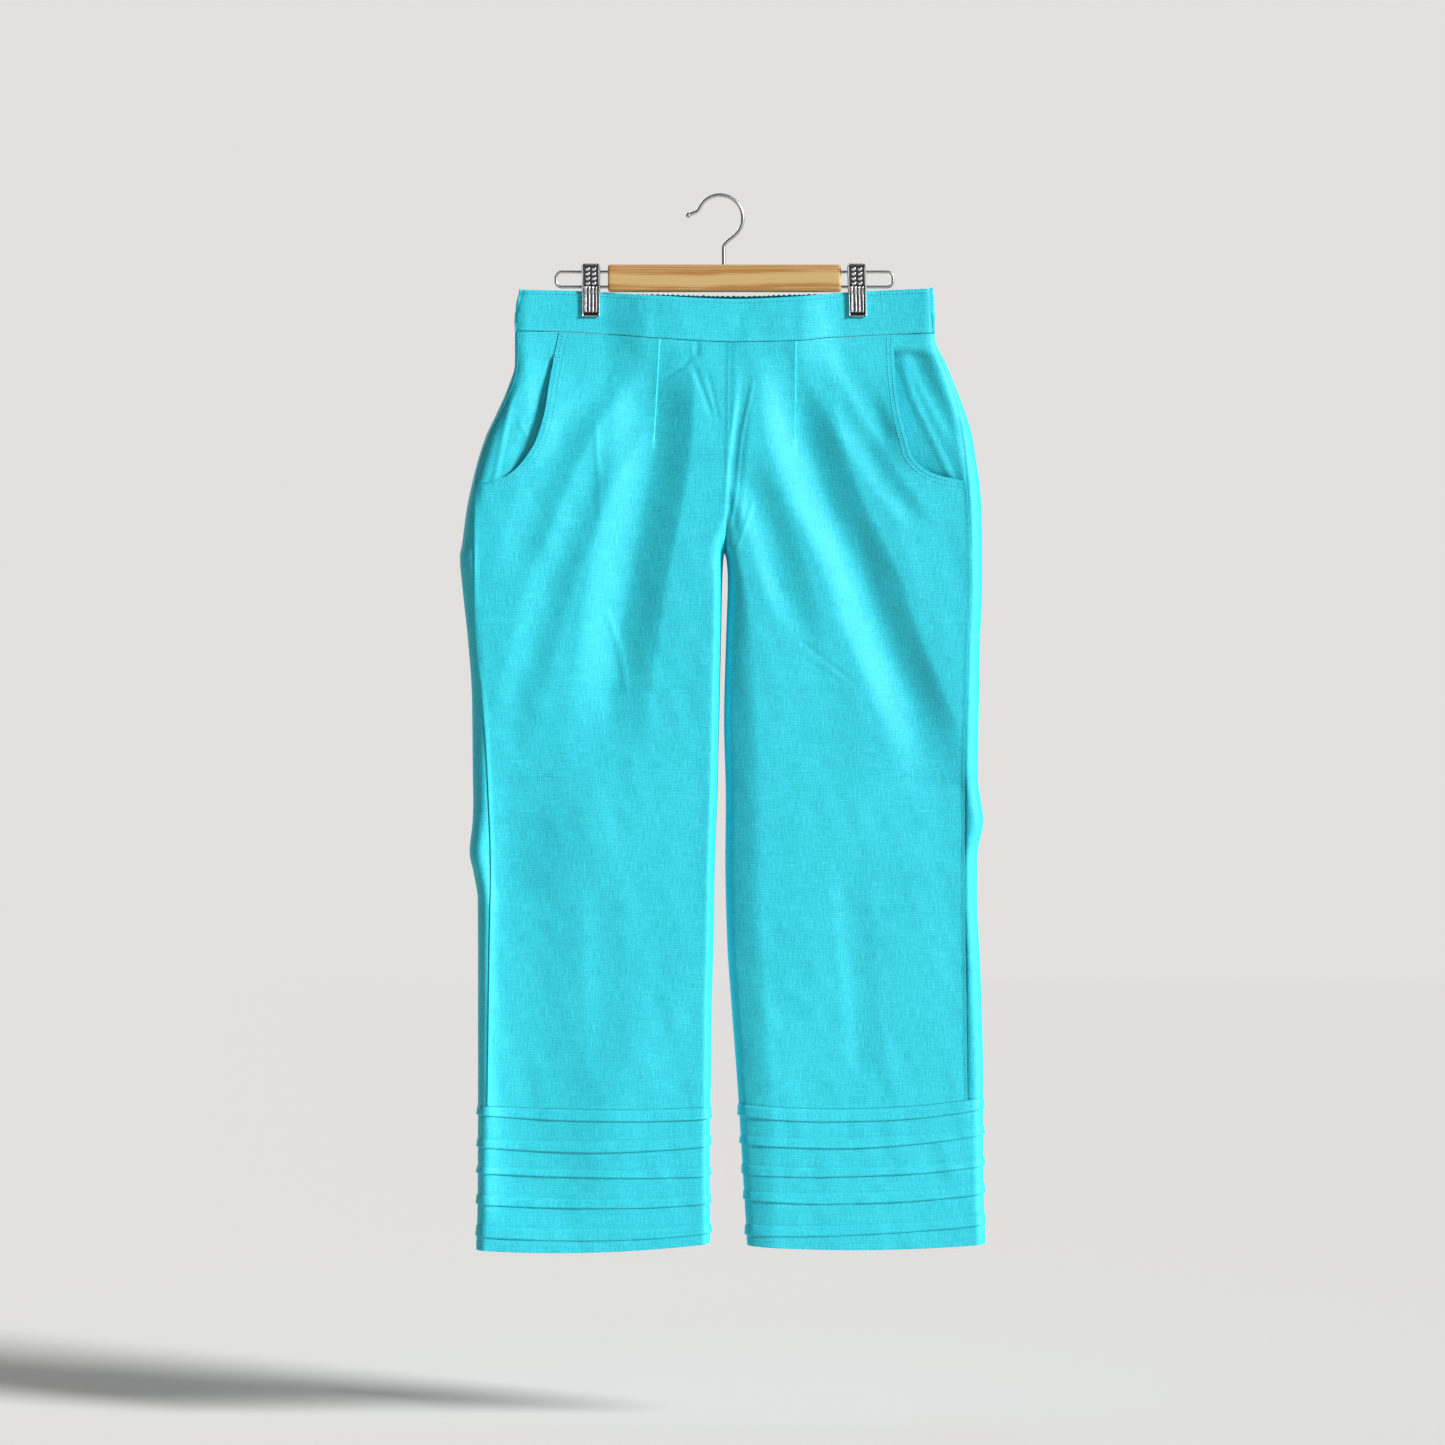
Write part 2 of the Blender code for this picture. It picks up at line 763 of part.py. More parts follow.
def waistband(name, fractions, span, top, rise, collection):
    """Adds a piece of the waistband.

    Args:
        name: the node's name.
        fractions: where the columns are, from 0 to 1 across the piece.
        span: a function of a ring that gives the piece's two ends along it.
        top: the name of the line of the top edge.
        rise: a function of (column, across) that gives how far the cloth stands out.
        collection: where the piece goes.
    """
    outer, inner = [], []
    for down in (0.0, 1.0):
        outs, ins = [], []
        for column, fraction in enumerate(fractions):
            guess = waist_ring(WAISTBAND_ABOUT)
            start, end = span(guess)
            x, _ = guess.place(start + fraction * (end - start))
            high, low = waist_line(top, x), waist_line("seam", x) + SEAM_GAP / 2
            height = high + down * (low - high)
            ring = waist_ring(height)
            start, end = span(ring)
            along = start + fraction * (end - start)
            out = rise(column, x)
            outs.append(moved(ring, along, height, -out))
            ins.append(moved(ring, along, height, BAND_WALL))
        outer.append(outs)
        inner.append(ins)
    return wall(name, outer, inner, "cloth", collection)


def waistband_front(collection):
    """Adds the plain front waistband."""

    def span(ring):
        return WAIST_WRAP + SEAM_GAP / 2, ring.front_length - WAIST_WRAP - SEAM_GAP / 2

    return waistband("waistband_front", spread(BAND_COLUMNS, 0.3), span, "front_top", lambda c, x: 0.0, collection)


def waistband_back(collection):
    """Adds the back waistband with its elastic gathers, which the clips flatten."""

    def span(ring):
        return ring.front_length - WAIST_WRAP + SEAM_GAP / 2, ring.total + WAIST_WRAP - SEAM_GAP / 2

    def rise(column, across):
        uneven = 0.75 + 0.25 * math.sin(1.7 * column)
        wave = 0.5 - 0.5 * math.cos(2 * math.pi * column / COLUMNS_PER_GATHER)
        return GATHER_RISE * uneven * wave * (1 - grip(across, WIRE_LOWER))

    fractions = [i / (GATHERS * COLUMNS_PER_GATHER) for i in range(GATHERS * COLUMNS_PER_GATHER + 1)]
    return waistband("waistband_back", fractions, span, "back_top", rise, collection)


def hem_band(side, collection):
    """Adds a hem band: a tube whose five tucks stand out and overhang."""
    stitches = tuck_lines(side)
    # Each row is a line across the leg, how far below it the row lies, and how far it stands out.
    profile = []
    for number, (stitch, fold) in enumerate(stitches):
        start = -SEAM_GAP / 2 if number == 0 else 0.0
        profile += [
            (stitch, start, 0.0),
            (stitch, -TUCK_SHOULDER, TUCK_RISE * 0.7),
            (fold, TUCK_LIP, TUCK_RISE),
            (fold, 0.0, TUCK_RISE * 0.75),
            (fold, TUCK_UNDERCUT, 0.0),
        ]
    profile.append((HEM[side], 0.0, 0.0))
    inside = [(stitches[0][0], -SEAM_GAP / 2, 0.0), (stitches[2][0], 0.0, 0.0), (HEM[side], 0.0, 0.0)]
    front = spread(HEM_COLUMNS // 2, 0.9)[:-1]

    def line(heights, drop, inwards):
        row = []
        for half in (0, 1):
            for fraction in front:
                ring = leg_ring(side, heights[1] + drop)
                limits = (0.0, ring.front_length) if half == 0 else (ring.front_length, ring.total)
                x, _ = ring.place(limits[0] + fraction * (limits[1] - limits[0]))
                height = across_leg(side, heights, x) + drop
                ring = leg_ring(side, height)
                limits = (0.0, ring.front_length) if half == 0 else (ring.front_length, ring.total)
                row.append(moved(ring, limits[0] + fraction * (limits[1] - limits[0]), height, inwards))
        return row

    outer = [line(heights, drop, -out) for heights, drop, out in profile]
    inner = [line(heights, drop, HEM_WALL) for heights, drop, _ in inside]
    return wall(f"hem_band_{SIDE_NAMES[side]}", outer, inner, "cloth", collection, closed=True)


# Hanger pieces

def wire_curve(name, route, radius, collection, radii=None):
    """Adds a round wire along a route of (across, height), as one closed mesh."""
    curve = bpy.data.curves.new(name, "CURVE")
    curve.dimensions = "3D"
    curve.bevel_depth = radius * MM
    curve.bevel_resolution = 2
    curve.use_fill_caps = True
    spline = curve.splines.new("POLY")
    spline.points.add(len(route) - 1)
    for i, (x, z) in enumerate(route):
        spline.points[i].co = (x * MM, 0, z * MM, 1)
        spline.points[i].radius = radii[i] if radii else 1.0
    curve.materials.append(material_for("wire"))
    thing = bpy.data.objects.new(name, curve)
    collection.objects.link(thing)
    return thing


def arc(centre, radius, start, end, steps):
    """Returns points round an arc, with its angles in degrees."""
    return [
        (
            centre[0] + radius * math.cos(math.radians(start + (end - start) * i / steps)),
            centre[1] + radius * math.sin(math.radians(start + (end - start) * i / steps)),
        )
        for i in range(steps + 1)
    ]


def hanger_hook(collection):
    """Adds the wire hook, with its stem in the bar and a ball at its tip."""
    centre = (0.0, HOOK_WIRE - HOOK_RADIUS)
    bend = arc(centre, HOOK_RADIUS, HOOK_FROM, HOOK_TO, 20)
    neck = [(STEM_AT, STEM_END), (STEM_AT, STEM_TOP), (STEM_AT + 0.9, STEM_TOP + 2.4), (STEM_AT + 4, STEM_TOP + 6)]
    last = Vector(bend[-1])
    tip = Vector(HOOK_TIP)
    flare = [(last.lerp(tip, 0.35) + Vector((0.6, -0.7)))[:]]
    direction = (tip - Vector(flare[0])).normalized()
    ball, radii = [], []
    for turn in range(0, 181, 20):
        angle = math.radians(turn)
        bulge = HOOK_BALL * math.sin(angle) / HOOK_WIRE
        if turn < 90 and bulge < 1:
            continue
        ball.append((tip - direction * HOOK_BALL * math.cos(angle))[:])
        radii.append(max(bulge, 0.25))
    route = neck + bend + flare + ball
    return wire_curve("hanger_hook", route, HOOK_WIRE, collection, [1.0] * (len(route) - len(ball)) + radii)


def clip_wire(side, collection):
    """Adds a U of wire that both ends of the bar hold, on which a clip slides."""
    end = (BAR_LEFT if side == LEFT else BAR_RIGHT) - side * WIRE_IN_BAR
    corner = WIRE_REACH[side] - side * WIRE_CORNER
    top = arc((corner, WIRE_UPPER - WIRE_CORNER), WIRE_CORNER, 90, 90 - 90 * side, 6)
    bottom = arc((corner, WIRE_LOWER + WIRE_CORNER), WIRE_CORNER, 90 - 90 * side, 90 - 180 * side, 6)
    route = [(end, WIRE_UPPER)] + top + bottom + [(end, WIRE_LOWER)]
    return wire_curve(f"clip_wire_{SIDE_NAMES[side]}", route, WIRE, collection)


def hole_cutter(name, radius, start, end, collection):
    """Adds a round cutter between two points."""
    start, end = Vector(start), Vector(end)
    mesh = bpy.data.meshes.new(name)
    shape = bmesh.new()
    length = (end - start).length * MM
    bmesh.ops.create_cone(
        shape, cap_ends=True, segments=14, radius1=radius * MM, radius2=radius * MM, depth=length
    )
    shape.to_mesh(mesh)
    shape.free()
    thing = bpy.data.objects.new(name, mesh)
    thing.location = (start + end) / 2 * MM
    thing.rotation_mode = "QUATERNION"
    thing.rotation_quaternion = (end - start).to_track_quat("Z", "Y")
    thing.hide_render = True
    thing.display_type = "WIRE"
    collection.objects.link(thing)
    return thing


def hanger_bar(collection, cutters):
    """Adds the wood bar, rounded, with bored holes for the wires and the hook."""
    low = (BAR_LEFT, -BAR_THICK / 2, BAR_BOTTOM)
    high = (BAR_RIGHT, BAR_THICK / 2, BAR_TOP)
    corners = [(x, y, z) for x in (low[0], high[0]) for y in (low[1], high[1]) for z in (low[2], high[2])]
    faces = [(0, 1, 3, 2), (4, 6, 7, 5), (0, 4, 5, 1), (2, 3, 7, 6), (0, 2, 6, 4), (1, 5, 7, 3)]
    bar = add_mesh("hanger_bar", corners, faces, "wood", collection)
    rounding = bar.modifiers.new("rounding", "BEVEL")
    rounding.width = BAR_ROUND * MM
    rounding.segments = 3
    holes = [
        (f"{SIDE_NAMES[side]}_hole_{level}", WIRE,
         (end - side * (WIRE_IN_BAR + 1), 0, height), (end + side * 5, 0, height))
        for side, end in ((LEFT, BAR_LEFT), (RIGHT, BAR_RIGHT))
        for level, height in (("upper", WIRE_UPPER), ("lower", WIRE_LOWER))
    ]
    holes.append(("stem_hole", HOOK_WIRE, (STEM_AT, 0, STEM_END - 1), (STEM_AT, 0, BAR_TOP + 5)))
    for name, radius, start, end in holes:
        cut = bar.modifiers.new(name, "BOOLEAN")
        cut.solver = "EXACT"
        cut.object = hole_cutter(name, radius + HOLE_CLEARANCE, start, end, cutters)
    return bar


def clip_plate(name, side, facing, collection):
    """Adds a clip's plate: sheet metal with a raised rim down each side. facing is -1 in front and 1 behind."""
    half, edge = CLIP_WIDTH / 2, CLIP_WIDTH / 2 - CLIP_RIM_WIDTH
    points = []
    for row in CLIP_PLATE:
        face, rim = row.stands + CLIP_METAL, row.stands + CLIP_METAL + row.rim
        section = [
            (-half, row.stands), (half, row.stands), (half, rim), (edge, rim),
            (edge, face), (-edge, face), (-edge, rim), (-half, rim),
        ]
        points += [(CLIP_AT[side] + x, facing * y, row.height) for x, y in section]
    across = 8
    faces = grid_faces(len(CLIP_PLATE), across, 0, True)
    faces.append(tuple(range(across)))
    faces.append(tuple(range(len(points) - across, len(points))))
    return add_mesh(name, points, faces, "chrome", collection)


def clip_sleeve(side, collection):
    """Adds the sleeve on the lower wire that a clip's plates rock on."""
    sides, points = 16, []
    rings = [
        (-SLEEVE_WIDTH / 2, SLEEVE_OUTER), (SLEEVE_WIDTH / 2, SLEEVE_OUTER),
        (SLEEVE_WIDTH / 2, WIRE + HOLE_CLEARANCE), (-SLEEVE_WIDTH / 2, WIRE + HOLE_CLEARANCE),
    ]
    for x, radius in rings + rings[:1]:
        for i in range(sides):
            angle = 2 * math.pi * i / sides
            points.append(
                (CLIP_AT[side] + x, radius * math.cos(angle), WIRE_LOWER + radius * math.sin(angle))
            )
    count = len(rings) * sides
    faces = [tuple(i % count for i in face) for face in grid_faces(len(rings) + 1, sides, 0, True)]
    return add_mesh(f"clip_sleeve_{SIDE_NAMES[side]}", points[:count], faces, "chrome", collection)


def clip(side, collection):
    """Adds a clip: two plates on a sleeve."""
    name = SIDE_NAMES[side]
    clip_plate(f"clip_front_plate_{name}", side, -1, collection)
    clip_plate(f"clip_back_plate_{name}", side, 1, collection)
    clip_sleeve(side, collection)


def new_collection(name, hidden=False):
    """Returns a new collection, linked to the scene."""
    collection = bpy.data.collections.new(name)
    collection.hide_render = hidden
    bpy.context.scene.collection.children.link(collection)
    return collection


def main():
    """Builds the whole part."""
    for thing in list(bpy.data.objects):
        bpy.data.objects.remove(thing, do_unlink=True)
    collection = new_collection(COLLECTION)
    cutters = new_collection("cutters", hidden=True)
    waistband_front(collection)
    waistband_back(collection)
    for side in (LEFT, RIGHT):
        front_leg(side, collection)
        back_leg(side, collection)
        pocket_facing(side, collection)
        hem_band(side, collection)
        clip_wire(side, collection)
        clip(side, collection)
    hanger_bar(collection, cutters)
    hanger_hook(collection)


main()
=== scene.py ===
"""The look of a pair of elasticated ankle trousers that hang from a clip hanger.

The cloth is one surface, worked out in level sections in millimetres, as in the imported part: an outline, a
depth and tables of creases give each section, and a piece is a thin shell between two seams of it. Left and
right are as seen from the front, which faces -Y.
"""

import logging
import math
from dataclasses import dataclass, field
from enum import Enum
from typing import Callable, NamedTuple, Sequence

import bmesh
import bpy
import numpy as np
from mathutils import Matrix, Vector


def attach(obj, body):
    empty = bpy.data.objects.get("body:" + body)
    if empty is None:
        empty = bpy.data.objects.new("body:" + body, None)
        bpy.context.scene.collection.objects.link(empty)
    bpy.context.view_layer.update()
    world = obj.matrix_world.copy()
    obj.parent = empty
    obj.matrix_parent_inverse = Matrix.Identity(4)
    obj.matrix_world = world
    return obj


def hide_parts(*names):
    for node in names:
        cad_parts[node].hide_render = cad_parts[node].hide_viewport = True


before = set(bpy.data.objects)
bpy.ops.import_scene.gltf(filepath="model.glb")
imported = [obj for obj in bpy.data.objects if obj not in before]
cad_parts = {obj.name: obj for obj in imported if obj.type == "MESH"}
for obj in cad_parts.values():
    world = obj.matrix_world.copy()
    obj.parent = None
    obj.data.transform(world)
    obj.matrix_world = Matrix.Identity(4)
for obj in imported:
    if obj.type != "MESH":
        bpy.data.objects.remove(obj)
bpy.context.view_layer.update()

MM = 0.001
BODY = "root"
log = logging.getLogger("trousers")

Grid = np.ndarray


class Side(Enum):
    """A side of the trousers, as seen from the front."""

    LEFT = -1
    RIGHT = 1

    @property
    def word(self) -> str:
        """The side's name in pieces and tables."""
        return self.name.lower()


class Slot(Enum):
    """The record's material slots."""

    CLOTH = "cloth"
    WOOD = "wood"
    WIRE = "wire"
    CHROME = "chrome"


# Sizes of the cloth, in millimetres

CLOTH_WALL = 1.0
BAND_WALL = 1.6
HEM_WALL = 1.2
FACING_WALL = 1.0
SEAM_GAP = 0.3
WAIST_DROP = 0.45
WAIST_WRAP = 4
CROTCH = -348
CROTCH_RISE = 45
INNER_OPENS_OVER = 17
WAIST_SEAM_ABOUT = -138
HEM_BAND_ABOUT = -890
BAND_ABOUT = -115


class Outline(NamedTuple):
    """The outer edge of each leg at a height."""

    height: float
    left: float
    right: float


OUTLINE = [
    Outline(*row)
    for row in (
        (-88, -195.5, 208.5),
        (-116, -200, 209.7),
        (-140, -201, 211),
        (-163, -201, 221.5),
        (-187, -208, 231.3),
        (-211, -218.5, 240.1),
        (-234, -229.3, 247),
        (-258, -237.2, 250.9),
        (-281, -243, 254.3),
        (-305, -248, 256),
        (-340, -252.8, 256.8),
        (-352, -254.9, 256.8),
        (-387, -252, 256.8),
        (-434, -247, 254.8),
        (-493, -243, 253.8),
        (-571, -242.2, 252.8),
        (-591, -241.8, 255.4),
        (-611, -242.4, 257.9),
        (-642, -245.4, 252.4),
        (-662, -241.5, 251.9),
        (-689, -237.4, 251.9),
        (-748, -237.2, 254.8),
        (-846, -237.2, 257.7),
        (-983, -237.6, 258.7),
        (-1035, -239.2, 261),
    )
]


class Depth(NamedTuple):
    """Half the hollow's depth in front and behind, and how far from its fold a section takes to open."""

    height: float
    front: float
    back: float
    opens_over: float


DEPTH = [
    Depth(*row)
    for row in (
        (-88, 7, 8, 10),
        (-140, 9, 11, 13),
        (-190, 14, 20, 18),
        (-250, 19, 27, 24),
        (-350, 23, 30, 28),
        (-500, 22, 26, 26),
        (-700, 20, 22, 24),
        (-885, 16, 17, 20),
        (-1035, 13, 14, 18),
    )
]


class Centre(NamedTuple):
    """Where the centre seam is at a height."""

    height: float
    across: float


CENTRE_SEAM = [Centre(-88, 9), Centre(-142, 8.8), Centre(-219, 7.8), Centre(-295, 6.9), Centre(CROTCH, 4)]


class Inner(NamedTuple):
    """The inner edge of each leg at a height, below the crotch."""

    height: float
    left: float
    right: float


INNER_EDGE = [
    Inner(*row)
    for row in (
        (CROTCH, 4, 4),
        (-356, 2.9, 6.4),
        (-375, 2.2, 7.6),
        (-434, 1, 5.9),
        (-513, -0.8, 4),
        (-591, -2.6, 5.7),
        (-650, -4.9, 5.2),
        (-728, -6.2, 6.9),
        (-787, -7.8, 10.8),
        (-865, -8.8, 16.7),
        (-944, -9.8, 21.6),
        (-1035, -9.3, 27),
    )
]


class Strip(NamedTuple):
    """How wide a strip of the cloth is at a height."""

    height: float
    width: float


# The right leg's inner strip turns away in front: first at its fold, by a share of the depth, then evenly.
RIGHT_ROLL = [
    Strip(*row) for row in ((-310, 7), (-348, 9), (-381, 17), (-430, 24), (-502, 33), (-870, 35), (-1035, 30))
]
ROLL_AT_FOLD = 0.5
ROLL_EASES_BY = 1.6
INNER_FOLD_OPENS_OVER = 8
# The fronts' folds are tighter below the crotch and, at the outer edges, below the hips.
TIGHT_BELOW, TIGHT_WITHIN = -310, 90
FLATTER_BELOW, FLATTER_WITHIN = -170, 130
OUTER_FLATTER = 0.42
# How far along the front the inseam lies from the inner edge, where the back rolls forward.
INSEAM = [
    Inner(*row) for row in ((CROTCH, 0, 0), (-500, 0, 0), (-780, 0, 1), (-900, 0, 6), (-1035, 0, 7))
]
SIDE_SEAM = [
    Inner(*row)
    for row in (
        (-128, -197, 207.5),
        (-150, -197.3, 213),
        (-178, -200.5, 224),
        (-200, -209.5, 231.2),
        (-236, -226, 237),
        (-280, -238.6, 241),
        (-332, -239.2, 244),
        (-387, -239.1, 245),
        (-445, -237.2, 242),
        (-483, -232.3, 241.2),
        (-552, -227.4, 239.2),
        (-660, -224, 239.1),
        (-750, -225.3, 240.1),
        (-900, -227.4, 242),
    )
]
POCKET_EDGE = {
    Side.LEFT: [
        Centre(*row)
        for row in (
            (-128, -156.3),
            (-155, -162.1),
            (-186, -167.6),
            (-209, -170.8),
            (-239, -179.3),
            (-261.7, -193.6),
            (-275.4, -209.7),
            (-279.4, -221),
            (-281.4, -230.5),
            (-283, -238.6),
        )
    ],
    Side.RIGHT: [
        Centre(*row)
        for row in (
            (-128, 171.1),
            (-153, 170.6),
            (-172.5, 171.5),
            (-195, 173.5),
            (-215, 176.4),
            (-239, 182.3),
            (-255, 187.4),
            (-268.5, 200.9),
            (-275.4, 218.5),
            (-277.6, 230),
            (-279.3, 240.9),
        )
    ],
}


class Across(NamedTuple):
    """The heights of the waistband's edges at a place across."""

    across: float
    front_top: float
    back_top: float
    seam: float


WAIST_LINES = [
    Across(*row)
    for row in (
        (-202, -91, -91, -131.2),
        (-157, -91.8, -91.8, -132.3),
        (-126, -92.9, -92.9, -134),
        (-103, -94.4, -94.1, -135.3),
        (-63, -97.2, -94.9, -138.8),
        (15, -100.5, -96.4, -142.6),
        (74, -98.2, -95.1, -141.5),
        (112, -94.6, -94.1, -137.6),
        (134, -92.9, -92.9, -136.6),
        (165, -91.4, -91.4, -135.2),
        (214, -89.6, -89.6, -133.2),
    )
]

# The clips pinch the waist nearly flat.
CLIP_AT = {Side.LEFT: -126.4, Side.RIGHT: 134.3}
GRIP_HALF = 2.3
GRIP_HALF_WIDTH = 11
GRIP_FADES_OVER = 46
GRIP_OUTSIDE = 0.4
GRIP_ABOVE = -121
GRIP_GONE = -235
CLEAR_OF_EDGE = 22


class Tuck(NamedTuple):
    """A tuck's stitch line and fold edge, at the leg's left edge, middle and right edge."""

    stitch_left: float
    stitch_middle: float
    stitch_right: float
    fold_left: float
    fold_middle: float
    fold_right: float


TUCKS = {
    Side.LEFT: [
        Tuck(*row)
        for row in (
            (-889, -892.8, -890.3, -898, -904.5, -901.6),
            (-921, -923.2, -917.5, -930, -935, -929),
            (-947.7, -951.6, -949, -956, -960, -958.4),
            (-975, -980, -975, -986, -990, -985),
            (-1005.5, -1009.4, -1005, -1017.2, -1021.7, -1014.5),
        )
    ],
    Side.RIGHT: [
        Tuck(*row)
        for row in (
            (-887, -891.8, -881, -899, -904.5, -892),
            (-918.3, -919.2, -908.5, -927, -930, -917.5),
            (-945.7, -948.6, -938.8, -956.5, -958.4, -948.6),
            (-972.2, -973.1, -964.3, -981.5, -985, -975.5),
            (-1005.5, -1004.5, -994.7, -1016.8, -1015.6, -1005.5),
        )
    ],
}
HEM = {Side.LEFT: (-1031, -1033, -1024.5), Side.RIGHT: (-1027, -1030.5, -1025)}


# Creases

@dataclass(frozen=True)
class Crease:
    """A trough that runs down the cloth, or a ridge where its depth is below nought.

    The path is a row of (height, across) points from the top down. left and right say how far its slopes
    reach, crisp_left and crisp_right how sharp their crests are, and keen_left and keen_right how straight
    they run into the valley, from 0 to 1.
    """

    name: str
    depth: float
    left: float
    right: float
    path: Sequence[tuple[float, float]]
    crisp_left: float = 0.0
    crisp_right: float = 0.0
    keen_left: float = 0.0
    keen_right: float = 0.0
    fade_in: float = 0.22
    fade_out: float = 0.22

    def push(self, height: Grid, across: Grid) -> Grid:
        """Works out how far the crease pushes the cloth in.

        Args:
            height: the heights of the places.
            across: the places across the cloth.

        Returns:
            The push at each place, in millimetres.
        """
        heights = np.array([point[0] for point in reversed(self.path)], float)
        acrosses = [point[1] for point in reversed(self.path)]
        low, high = heights[0], heights[-1]
        away = across - smooth(heights, acrosses, height)
        slopes = []
        for reach, crisp, keen in (
            (self.left, self.crisp_left, self.keen_left), (self.right, self.crisp_right, self.keen_right),
        ):
            out = np.clip(np.abs(away) / reach, 0, 1)
            inside = 1 - out**2
            slopes.append(keen * (1 - out) + (1 - keen) * (crisp * inside + (1 - crisp) * inside**2))
        down = (high - height) / (high - low)
        fade = ease(down / self.fade_in) * ease((1 - down) / self.fade_out)
        return self.depth * fade * np.where(away < 0, slopes[0], slopes[1])


FRONT_CREASES = (
    Crease(
        "left main valley", 9.8, 44, 37,
        ((-140, -59), (-160, -61), (-230, -64), (-262, -67), (-302, -74), (-372, -87), (-443, -98),
         (-493, -105), (-590, -114)),
        crisp_right=0.3, keen_right=0.5, fade_in=0.16, fade_out=0.4,
    ),
    Crease(
        "left middle drag", 3.0, 26, 25,
        ((-150, -72), (-180, -80), (-196, -87), (-231, -98), (-281, -125), (-320, -140), (-379, -165),
         (-443, -182), (-500, -197), (-560, -205)),
        crisp_right=0.2, fade_out=0.3,
    ),
    Crease(
        "left outer drag", 2.2, 28, 25,
        ((-145, -92), (-178, -108), (-231, -147), (-284, -171), (-337, -189), (-400, -205)),
        crisp_right=0.2, fade_out=0.3,
    ),
    Crease(
        "right main valley", 9.0, 40, 35,
        ((-140, 76), (-171, 77), (-196, 78), (-232, 82), (-267, 94), (-302, 106), (-337, 124), (-372, 140),
         (-408, 152), (-443, 166), (-492, 186), (-529, 200), (-620, 218)),
        crisp_left=0.1, crisp_right=0.25, keen_right=0.2, fade_in=0.16, fade_out=0.35,
    ),
    Crease(
        "right inner drag", 4.0, 24, 27,
        ((-250, 22), (-270, 26), (-295, 35), (-337, 49), (-372, 60), (-408, 72), (-460, 86)),
        crisp_right=0.2, fade_out=0.4,
    ),
    Crease("right hip drag", 1.9, 18, 18, ((-140, 118), (-160, 124), (-180, 132), (-207, 146), (-250, 166))),
    Crease(
        "right thigh drag", 2.1, 20, 20,
        ((-160, 94), (-180, 104), (-215, 122), (-245, 140), (-275, 158), (-305, 180), (-335, 203)),
    ),
    Crease(
        "right fork valley", 2.4, 5, 12,
        ((-165, 24), (-184, 22), (-238, 15), (-297, 9.5), (-350, 6)),
        crisp_right=0.6, fade_in=0.35, fade_out=0.15,
    ),
    Crease(
        "left shin fall", 5.5, 46, 95,
        ((-480, -196), (-600, -202), (-720, -204), (-860, -202), (-1030, -198)),
        fade_in=0.3, fade_out=0.12,
    ),
    Crease("right thigh wrinkle", 0.7, 3, 4, ((-430, 72), (-440, 84), (-462, 112), (-482, 138))),
    Crease("right thigh wrinkle below", 0.5, 3, 4, ((-452, 78), (-464, 98), (-480, 124))),
    Crease("right shin fall", 1.3, 16, 26, ((-640, 118), (-740, 128), (-820, 136), (-880, 142))),
    Crease("left shin inner fall", 1.3, 20, 28, ((-660, -118), (-760, -116), (-880, -110))),
    Crease("left knee break", 2.2, 60, 60, ((-600, -205), (-650, -214), (-700, -205))),
    Crease("right knee break", 2, 55, 55, ((-560, 226), (-612, 232), (-660, 226))),
    Crease(
        "crotch drag", -0.9, 2.4, 2.2,
        ((-170, 33), (-184, 31.4), (-238, 20.6), (-297, 14.7), (-330, 7.5)),
        crisp_left=0.3, crisp_right=0.8, fade_in=0.15, fade_out=0.1,
    ),
    Crease(
        "crotch drag beside it", -0.7, 2.4, 2.2,
        ((-290, 33), (-305, 30.4), (-330, 22), (-355, 13.7), (-366, 11)), crisp_left=0.8, crisp_right=0.6,
    ),
    Crease("left fly drag", 0.9, 5, 3.5, ((-160, -27), (-171, -23.5), (-195, -15), (-222, -5))),
    Crease("left fly drag beside it", 0.6, 4, 3, ((-168, -14), (-190, -8), (-212, -3), (-226, 0))),
    Crease("left pleat drag", 1.2, 6, 4, ((-156, -27), (-162, -31), (-172, -45), (-180, -63))),
    Crease("waist pucker", 0.9, 4, 3, ((-141, -21), (-146, -22), (-153, -22.5), (-158, -22.5))),
    Crease(
        "left thigh crinkle", -0.9, 4, 3,
        ((-396, -115), (-404, -111.7), (-445, -98), (-483, -91), (-494, -90)),
    ),
    Crease(
        "left thigh upright crinkle", -0.6, 4, 3, ((-215, -121), (-250, -120), (-290, -117), (-330, -116))
    ),
)
FACING_CREASES = {
    Side.LEFT: (
        Crease(
            "left pocket ridge", -1.1, 5, 4,
            ((-180, -196), (-206, -205), (-240, -212), (-279, -220), (-292, -223)),
            fade_in=0.3, fade_out=0.1,
        ),
        Crease(
            "left pocket hollow", 1.2, 12, 10,
            ((-165, -172), (-190, -176), (-215, -180), (-240, -190), (-268, -205)),
            fade_in=0.3,
        ),
        Crease("left pocket crinkle", -0.8, 3, 3, ((-216, -197), (-224, -195), (-232, -190), (-238, -188))),
    ),
    Side.RIGHT: (
        Crease(
            "right pocket ridge", -0.9, 7, 6,
            ((-150, 176), (-166, 179.5), (-200, 190), (-235, 206), (-275, 225), (-285, 229)),
            crisp_right=0.3, fade_in=0.15, fade_out=0.1,
        ),
        Crease(
            "right pocket hollow", 1.4, 10, 16,
            ((-148, 184), (-156, 190), (-180, 200), (-205, 213), (-232, 226), (-250, 232)),
            fade_in=0.08, fade_out=0.3,
        ),
    ),
}
